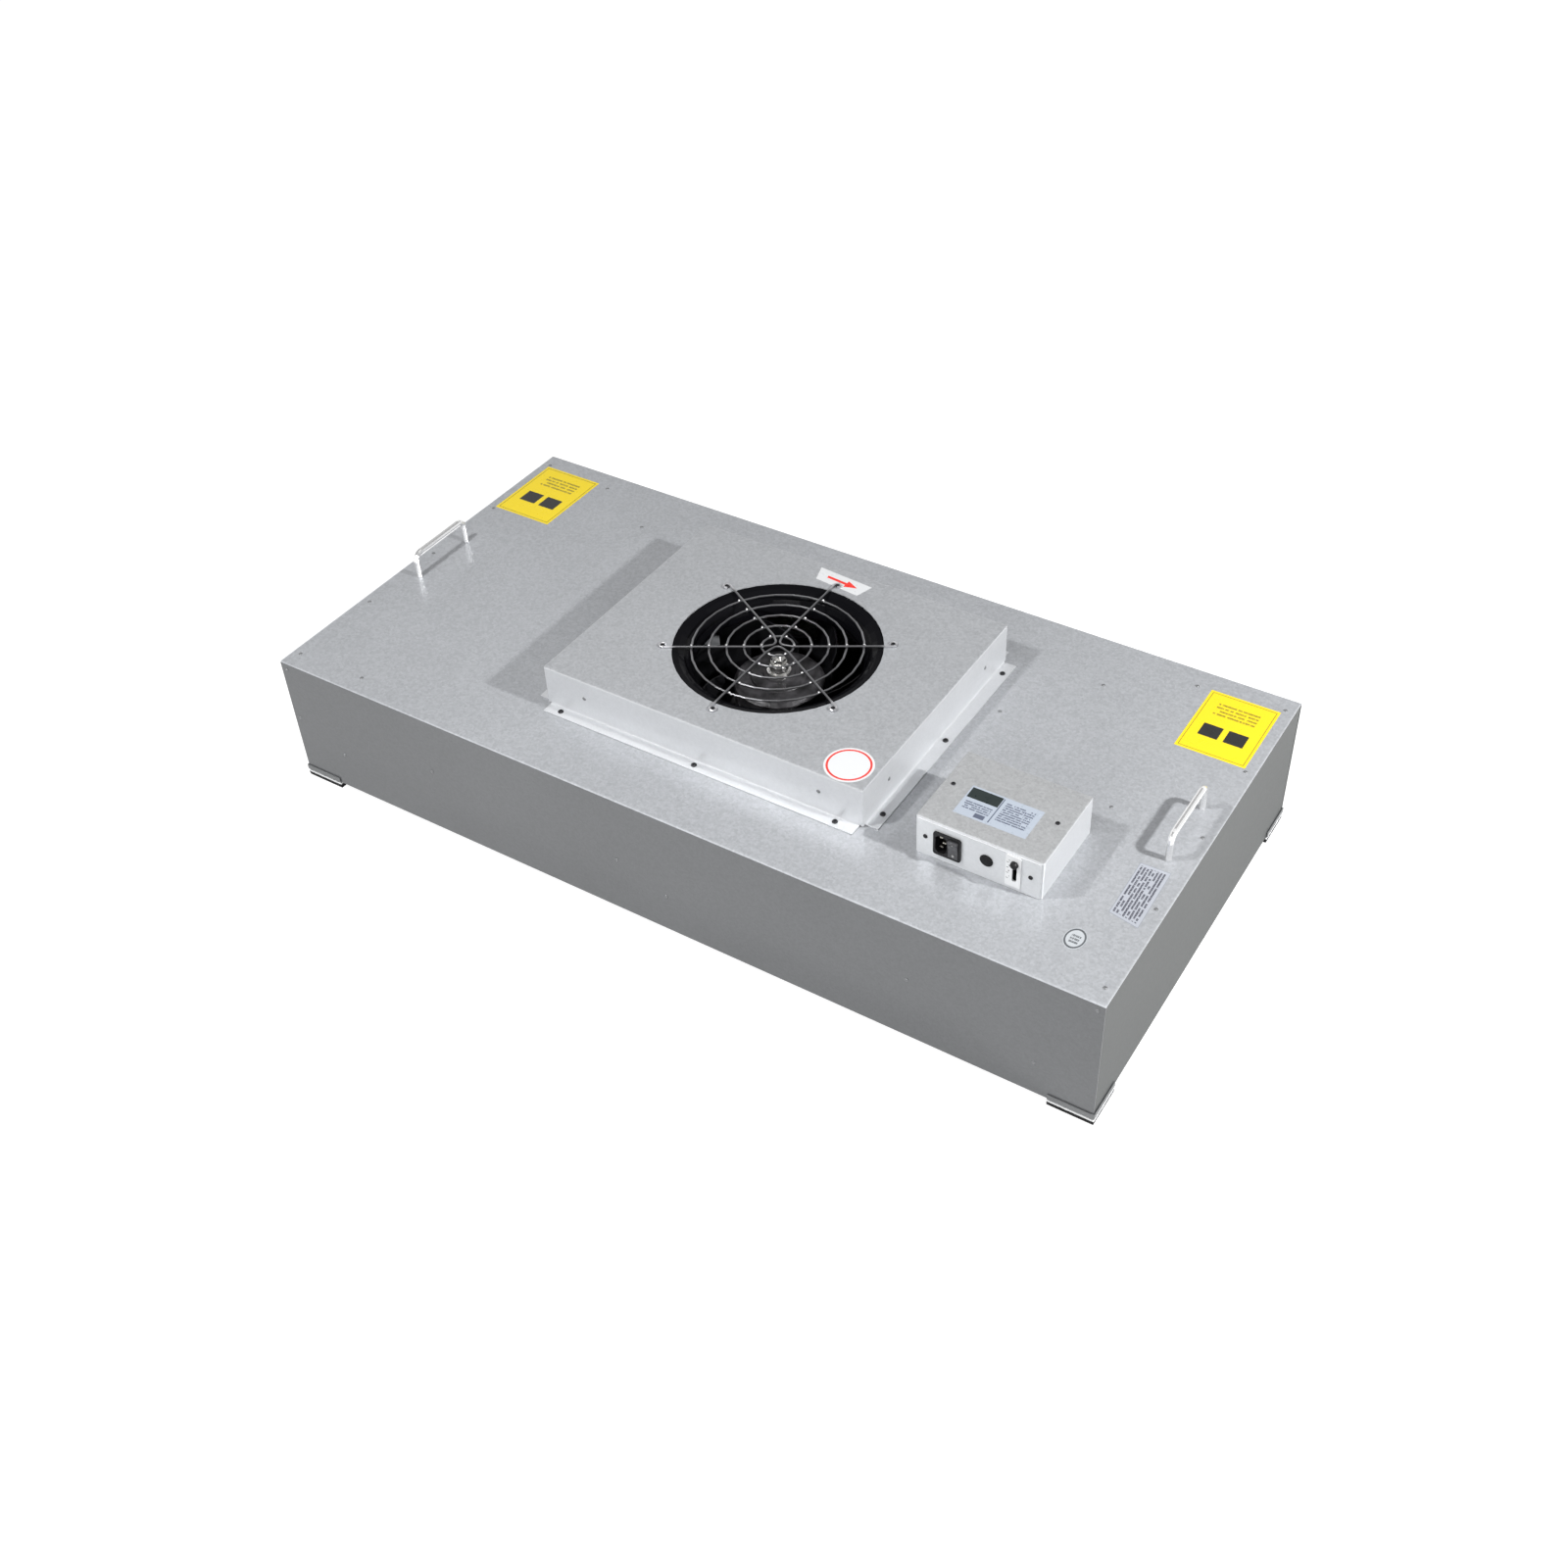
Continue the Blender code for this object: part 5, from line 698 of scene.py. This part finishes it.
numbers = []
for digit, z in zip((ONE, TWO, THREE, FOUR), STEPS):
    above_tick = [(NUMBER_X, PLATE_FACE, TOP + z + NUMBER_RISE)]
    numbers += [stood(patch, above_tick, FRONT) for patch in numeral(digit)]
skin("speed_numbers", numbers, ink, "unit", sharp=20.0)


# Inside the electric box: the run capacitor in its grey sleeve, the terminal block moulded in pale plastic,
# and the black jacketed lead to the motor.

sleeve = worn("capacitor_sleeve", (0.55, 0.56, 0.57), 0.0, 0.36, 900.0, (0.30, 0.44), (0.00003, 0.4))
dress(sleeve, "capacitor")

TERMINAL_TONE = (0.62, 0.62, 0.58)
polyamide, polyamide_tree, polyamide_shader = blank_finish("terminal_polyamide", TERMINAL_TONE, 0.0, 0.46)
polyamide_grain = grain(polyamide_tree, place(polyamide_tree), 1300.0, 2.0)
mottled(polyamide_tree, polyamide_shader, TERMINAL_TONE, polyamide_grain, 0.3, 0.7, 0.95, 1.03)
relief(polyamide_tree, polyamide_shader, polyamide_grain, 0.00004, 0.5)
dress(polyamide, "terminal_block")

jacket = worn("lead_jacket", (0.035, 0.035, 0.037), 0.0, 0.5, 700.0, (0.42, 0.6), (0.00006, 0.5), 3.0)
dress(jacket, "motor_lead")


# Labels: printed film stuck on the sheet. Each is a thin leaf with its print worked out from its own UV map,
# plain rules and borders in a generic layout.

FILM = 0.00012
LINE_LENGTH, LINE_SHIFT = 16.0, 3.7
WORD_GAP, LETTER_GAP = 0.38, 0.36


def leaf(name, corners, level, finish, rows=8, columns=8, round_corner=0.0):
    """A film leaf: points between four corners (near left, near right, far right, far left) by the two shares
    u and v, with u and v as its UV map. The lower face is the same grid a film's thickness down. With
    round_corner 1 each point is drawn in towards the middle until the rim of the square is a circle."""
    u, v = np.meshgrid(np.linspace(0, 1, columns), np.linspace(0, 1, rows))
    if round_corner:
        edge = np.maximum(np.abs(2 * u - 1), np.abs(2 * v - 1))
        length = np.hypot(2 * u - 1, 2 * v - 1) + 1e-9
        pull = 1 + round_corner * (edge / length - 1)
        u, v = 0.5 + (u - 0.5) * pull, 0.5 + (v - 0.5) * pull
    a, b, c, d = (np.asarray(p, float) for p in corners)
    flat = ((1 - u) * (1 - v))[..., None] * a + (u * (1 - v))[..., None] * b
    flat = flat + (u * v)[..., None] * c + ((1 - u) * v)[..., None] * d
    top = np.concatenate([flat, np.full((*u.shape, 1), level + FILM)], axis=-1)
    foot = top - (0.0, 0.0, FILM)
    index = np.arange(rows * columns).reshape(rows, columns)
    quads = np.stack([index[:-1, :-1], index[:-1, 1:], index[1:, 1:], index[1:, :-1]], axis=-1).reshape(-1, 4)
    painted_fold_highlight = np.concatenate([index[0], index[1:, -1], index[-1, -2::-1], index[-2:0:-1, 0]])
    under = painted_fold_highlight + rows * columns
    walls = np.stack([painted_fold_highlight, under, np.roll(under, -1), np.roll(painted_fold_highlight, -1)], axis=-1)
    faces = np.concatenate([quads, quads[:, ::-1] + rows * columns, walls])
    points = np.concatenate([top.reshape(-1, 3), foot.reshape(-1, 3)])
    mesh = bpy.data.meshes.new(name)
    mesh.from_pydata(points, [], faces.tolist())
    shares = np.tile(np.stack([u, v], axis=-1).reshape(-1, 2), (2, 1))
    corner_of = np.empty(len(mesh.loops), np.int32)
    mesh.loops.foreach_get("vertex_index", corner_of)
    print_map = mesh.uv_layers.new(name="print")
    print_map.data.foreach_set("uv", shares[corner_of].astype(np.float32).ravel())
    mesh.materials.append(finish)
    made = bpy.data.objects.new(name, mesh)
    bpy.context.scene.collection.objects.link(made)
    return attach(made, "unit")


def film(name, tone, gloss=0.3):
    """Printed film with a soft waviness: returns the finish, its tree and shader, and the two shares of its
    UV map."""
    finish, tree, shader = blank_finish(name, tone, 0.0, gloss)
    print_map = pattern(tree, "UVMap", {}, uv_map="print").outputs["UV"]
    shares = pattern(tree, "SeparateXYZ", {"Vector": print_map})
    wave = grain(tree, place(tree), 90.0, 2.0)
    glossed(tree, shader, wave, 0.3, 0.7, gloss - 0.05, gloss + 0.08)
    relief(tree, shader, wave, 0.0001, 0.3)
    return finish, tree, shader, shares.outputs["X"], shares.outputs["Y"]


def inside(tree, value, low, high):
    """1 where value is between low and high, else 0."""
    above = sums(tree, "GREATER_THAN", value, low)
    return sums(tree, "MULTIPLY", above, sums(tree, "LESS_THAN", value, high))


def window(tree, u, v, left, right, low, high):
    """1 inside a rectangle of the print, else 0."""
    return sums(tree, "MULTIPLY", inside(tree, u, left, right), inside(tree, v, low, high))


def rules(tree, u, v, left, right, low, high, count, share=0.45):
    """count printed lines across a rectangle of the print: inked where v's place in its line is below share.
    Noise along each line breaks it into words where it is below WORD_GAP, and finer noise into letters.
    LINE_SHIFT gives each line its own words."""
    lines = sums(tree, "MULTIPLY", sums(tree, "SUBTRACT", v, low), count / (high - low))
    row = sums(tree, "MULTIPLY", sums(tree, "FLOOR", lines), LINE_SHIFT)
    along = sums(tree, "MULTIPLY", u, LINE_LENGTH / (right - left))
    words = pattern(tree, "CombineXYZ", {"X": along, "Y": row}).outputs["Vector"]
    words = sums(tree, "GREATER_THAN", grain(tree, words, 1.0, 0.0), WORD_GAP)
    letters = pattern(tree, "CombineXYZ", {"X": along, "Y": lines}).outputs["Vector"]
    letters = sums(tree, "GREATER_THAN", grain(tree, letters, 5.0, 0.0), LETTER_GAP)
    line = sums(tree, "LESS_THAN", sums(tree, "FRACT", lines), share)
    line = sums(tree, "MULTIPLY", line, sums(tree, "MULTIPLY", words, letters))
    return sums(tree, "MULTIPLY", line, window(tree, u, v, left, right, low, high))


def either(tree, first, second):
    """1 where either of two marks is."""
    return sums(tree, "MAXIMUM", first, second)


def from_middle(tree, u, v):
    """How far a place of the print is from its middle."""
    across, up = sums(tree, "SUBTRACT", u, 0.5), sums(tree, "SUBTRACT", v, 0.5)
    return distance(tree, pattern(tree, "CombineXYZ", {"X": across, "Y": up}).outputs["Vector"])


YELLOW = (0.80, 0.61, 0.016)
yellow, yellow_tree, yellow_shader, u, v = film("yellow_film", YELLOW)
border = sums(yellow_tree, "SUBTRACT", window(yellow_tree, u, v, 0.035, 0.965, 0.027, 0.973),
              window(yellow_tree, u, v, 0.046, 0.954, 0.036, 0.964))
text = rules(yellow_tree, u, v, 0.20, 0.80, 0.64, 0.86, 4, 0.5)
print_marks = sums(yellow_tree, "MULTIPLY", either(yellow_tree, border, text), 0.75)
yellow_print = blend_tone(yellow_tree, print_marks, YELLOW, (0.10, 0.08, 0.02))
block_mark = window(yellow_tree, u, v, 0.18, 0.46, 0.27, 0.47)
block_mark = either(yellow_tree, block_mark, window(yellow_tree, u, v, 0.54, 0.82, 0.27, 0.47))
yellow_print = blend_tone(yellow_tree, block_mark, yellow_print, (0.02, 0.02, 0.02))
yellow_tree.links.new(yellow_print, yellow_shader.inputs["Base Color"])
left_corners = ((-0.575, 0.136), (-0.481, 0.136), (-0.481, 0.259), (-0.575, 0.259))
right_corners = ((0.481, 0.136), (0.572, 0.136), (0.572, 0.256), (0.481, 0.256))
leaf("yellow_label_left", left_corners, TOP, yellow)
leaf("yellow_label_right", right_corners, TOP, yellow)

SILVER = (0.46, 0.48, 0.53)
silver, silver_tree, silver_shader, u, v = film("silver_film", SILVER, 0.34)
silver_shader.inputs["Metallic"].default_value = 0.3
silver_lines = rules(silver_tree, v, u, 0.05, 0.95, 0.08, 0.92, 8, 0.60)
silver_edge = window(silver_tree, u, v, 0.02, 0.98, 0.01, 0.99)
silver_marks = sums(silver_tree, "MULTIPLY", silver_lines, 0.9)
silver_tone = blend_tone(silver_tree, silver_edge, (0.32, 0.34, 0.38), SILVER)
silver_tone = blend_tone(silver_tree, silver_marks, silver_tone, (0.05, 0.05, 0.07))
silver_tree.links.new(silver_tone, silver_shader.inputs["Base Color"])
plate_corners = ((0.5315, -0.1605), (0.5695, -0.1678), (0.5674, -0.0712), (0.5300, -0.0720))
leaf("silver_plate", plate_corners, TOP, silver)

WHITE = (0.62, 0.63, 0.64)
seal, seal_tree, seal_shader, u, v = film("white_film", WHITE, 0.32)
seal_ring = inside(seal_tree, from_middle(seal_tree, u, v), 0.41, 0.455)
seal_tone = blend_tone(seal_tree, seal_ring, WHITE, (0.62, 0.05, 0.04))
seal_tree.links.new(seal_tone, seal_shader.inputs["Base Color"])


def disc_corners(x, y, half_x, half_y):
    """The four corners of the rectangle round a disc or an oval."""
    signs = ((-1, -1), (1, -1), (1, 1), (-1, 1))
    return [(x + right * half_x, y + far * half_y) for right, far in signs]


leaf("round_label", disc_corners(0.1935, -0.149, 0.030, 0.030), INLET_TOP, seal, 33, 33, 1.0)

OVAL_TONE = (0.42, 0.44, 0.46)
oval, oval_tree, oval_shader, u, v = film("oval_film", OVAL_TONE, 0.34)
oval_ring = inside(oval_tree, from_middle(oval_tree, u, v), 0.39, 0.47)
oval_marks = either(oval_tree, oval_ring, rules(oval_tree, u, v, 0.28, 0.72, 0.28, 0.72, 3, 0.6))
oval_marks = sums(oval_tree, "MULTIPLY", oval_marks, 0.9)
oval_tone = blend_tone(oval_tree, oval_marks, OVAL_TONE, (0.05, 0.055, 0.06))
oval_tree.links.new(oval_tone, oval_shader.inputs["Base Color"])
leaf("oval_label", disc_corners(0.517, -0.215, 0.0125, 0.0165), TOP, oval, 25, 25, 1.0)

arrow_film, arrow_tree, arrow_shader, u, v = film("arrow_film", WHITE, 0.3)
arrow_middle = sums(arrow_tree, "ABSOLUTE", sums(arrow_tree, "SUBTRACT", v, 0.5))
shaft = sums(arrow_tree, "LESS_THAN", arrow_middle, 0.09)
shaft = sums(arrow_tree, "MULTIPLY", inside(arrow_tree, u, 0.20, 0.62), shaft)
head_width = sums(arrow_tree, "MULTIPLY", sums(arrow_tree, "SUBTRACT", 0.84, u), 1.15)
head = sums(arrow_tree, "LESS_THAN", arrow_middle, head_width)
head = sums(arrow_tree, "MULTIPLY", inside(arrow_tree, u, 0.60, 0.84), head)
arrow_tone = blend_tone(arrow_tree, either(arrow_tree, shaft, head), WHITE, (0.72, 0.035, 0.025))
arrow_tree.links.new(arrow_tone, arrow_shader.inputs["Base Color"])
arrow_corners = ((-0.034, 0.146), (0.032, 0.1395), (0.040, 0.1645), (-0.041, 0.171))
leaf("arrow_label", arrow_corners, INLET_TOP, arrow_film)

PALE = (0.36, 0.40, 0.46)
rating, rating_tree, rating_shader, u, v = film("pale_film", PALE, 0.3)
left_lines = rules(rating_tree, u, v, 0.05, 0.42, 0.24, 0.52, 4, 0.60)
right_lines = rules(rating_tree, u, v, 0.52, 0.92, 0.22, 0.88, 9, 0.58)
rating_marks = either(rating_tree, left_lines, right_lines)
rating_marks = either(rating_tree, rating_marks, window(rating_tree, u, v, 0.46, 0.475, 0.06, 0.94))
rating_marks = either(rating_tree, rating_marks, window(rating_tree, u, v, 0.26, 0.40, 0.06, 0.20))
rating_marks = sums(rating_tree, "MULTIPLY", rating_marks, 0.9)
rating_tone = blend_tone(rating_tree, rating_marks, PALE, (0.06, 0.07, 0.11))
banner = window(rating_tree, u, v, 0.02, 0.45, 0.60, 0.95)
rating_tone = blend_tone(rating_tree, banner, rating_tone, (0.015, 0.022, 0.022))
rating_tree.links.new(rating_tone, rating_shader.inputs["Base Color"])
rating_corners = ((0.333, -0.156), (0.424, -0.156), (0.424, -0.106), (0.333, -0.106))
leaf("rating_label", rating_corners, COVER_TOP, rating)


# Studio: a pale plain floor, a white backdrop under a dim ceiling, small lamps at the right and at the front
# left, a large softbox in front and a weak one overhead, and the camera at the photograph's angle.

floor_mesh = bpy.data.meshes.new("floor")
floor_mesh.from_pydata([(-30, -30, 0), (30, -30, 0), (30, 30, 0), (-30, 30, 0)], [], [(0, 1, 2, 3)])
floor = bpy.data.objects.new("floor", floor_mesh)
bpy.context.scene.collection.objects.link(floor)
paint = bpy.data.materials.new("floor_paint")
paint.use_nodes = True
tree = paint.node_tree
tree.nodes.remove(tree.nodes["Principled BSDF"])
ray = pattern(tree, "LightPath", {})
seen = either(tree, ray.outputs["Is Camera Ray"], ray.outputs["Is Glossy Ray"])
seen = either(tree, seen, ray.outputs["Is Transmission Ray"])
matt = pattern(tree, "BsdfDiffuse", {"Color": (0.35, 0.35, 0.35, 1.0)}).outputs[0]
far_out = distance(tree, place(tree))
glow_level = sums(tree, "MULTIPLY", seen, spread(tree, far_out, 0.9, 2.2, 0.86, 1.0))
glow = pattern(tree, "Emission", {"Strength": glow_level}).outputs[0]
lit_floor = pattern(tree, "AddShader", {0: matt, 1: glow}).outputs[0]
tree.links.new(lit_floor, tree.nodes["Material Output"].inputs["Surface"])
floor_mesh.materials.append(paint)

world = bpy.data.worlds.new("studio")
bpy.context.scene.world = world
world.use_nodes = True
tree = world.node_tree
ray = pattern(tree, "LightPath", {})
mirrored = either(tree, ray.outputs["Is Glossy Ray"], ray.outputs["Is Transmission Ray"])
direction = pattern(tree, "TexCoord", {}).outputs["Generated"]
upward = pattern(tree, "SeparateXYZ", {"Vector": direction}).outputs["Z"]
room = sums(tree, "MULTIPLY", mirrored, spread(tree, upward, 0.30, 0.70, 1.0, 0.20))
room = either(tree, room, sums(tree, "MULTIPLY", sums(tree, "SUBTRACT", 1.0, mirrored), 0.14))
tree.links.new(either(tree, room, ray.outputs["Is Camera Ray"]), tree.nodes["Background"].inputs["Strength"])
tree.nodes["Background"].inputs["Color"].default_value = (1.0, 1.0, 1.0, 1.0)


def softbox(name, place_at, aim, size, power):
    """A square white lamp at place_at that faces aim."""
    light = bpy.data.lights.new(name, "AREA")
    light.size = size
    light.energy = power
    lamp = bpy.data.objects.new(name, light)
    toward = np.asarray(aim, float) - np.asarray(place_at, float)
    toward = toward / np.linalg.norm(toward)
    side = np.cross(toward, (0.0, 0.0, 1.0))
    side = side / np.linalg.norm(side) if np.linalg.norm(side) > 1e-6 else np.array((1.0, 0.0, 0.0))
    turn = np.eye(4)
    turn[:3, 0], turn[:3, 1], turn[:3, 2], turn[:3, 3] = side, np.cross(side, toward), -toward, place_at
    lamp.matrix_world = Matrix(turn)
    bpy.context.scene.collection.objects.link(lamp)


softbox("right_lamp", (1.86, 0.05, 1.49), (0.3, 0.0, 0.2), 0.10, 50.0)
softbox("front_left_lamp", (-0.55, -0.90, 1.70), (0.0, -0.05, 0.2), 0.15, 24.0)
softbox("front_fill", (0.9, -3.0, 1.3), (0.0, 0.0, 0.2), 1.6, 42.0)
softbox("back_box", (0.0, 0.6, 2.6), (0.0, 0.0, 0.2), 1.6, 4.0)

camera_data = bpy.data.cameras.new("camera")
camera_data.lens = 41.5943
camera_data.sensor_width = 36.0
camera_data.shift_x = -0.03708
camera_data.shift_y = -0.02114
camera = bpy.data.objects.new("camera", camera_data)
camera.matrix_world = Matrix(
    (
        (0.85577047, -0.32687832, 0.40100807, 1.0208),
        (0.51701001, 0.56866615, -0.63978079, -1.4833),
        (-0.01890924, 0.75483069, 0.65564706, 1.6386),
        (0.0, 0.0, 0.0, 1.0),
    )
)
bpy.context.scene.collection.objects.link(camera)
bpy.context.scene.camera = camera
bpy.context.scene.view_settings.view_transform = "Standard"
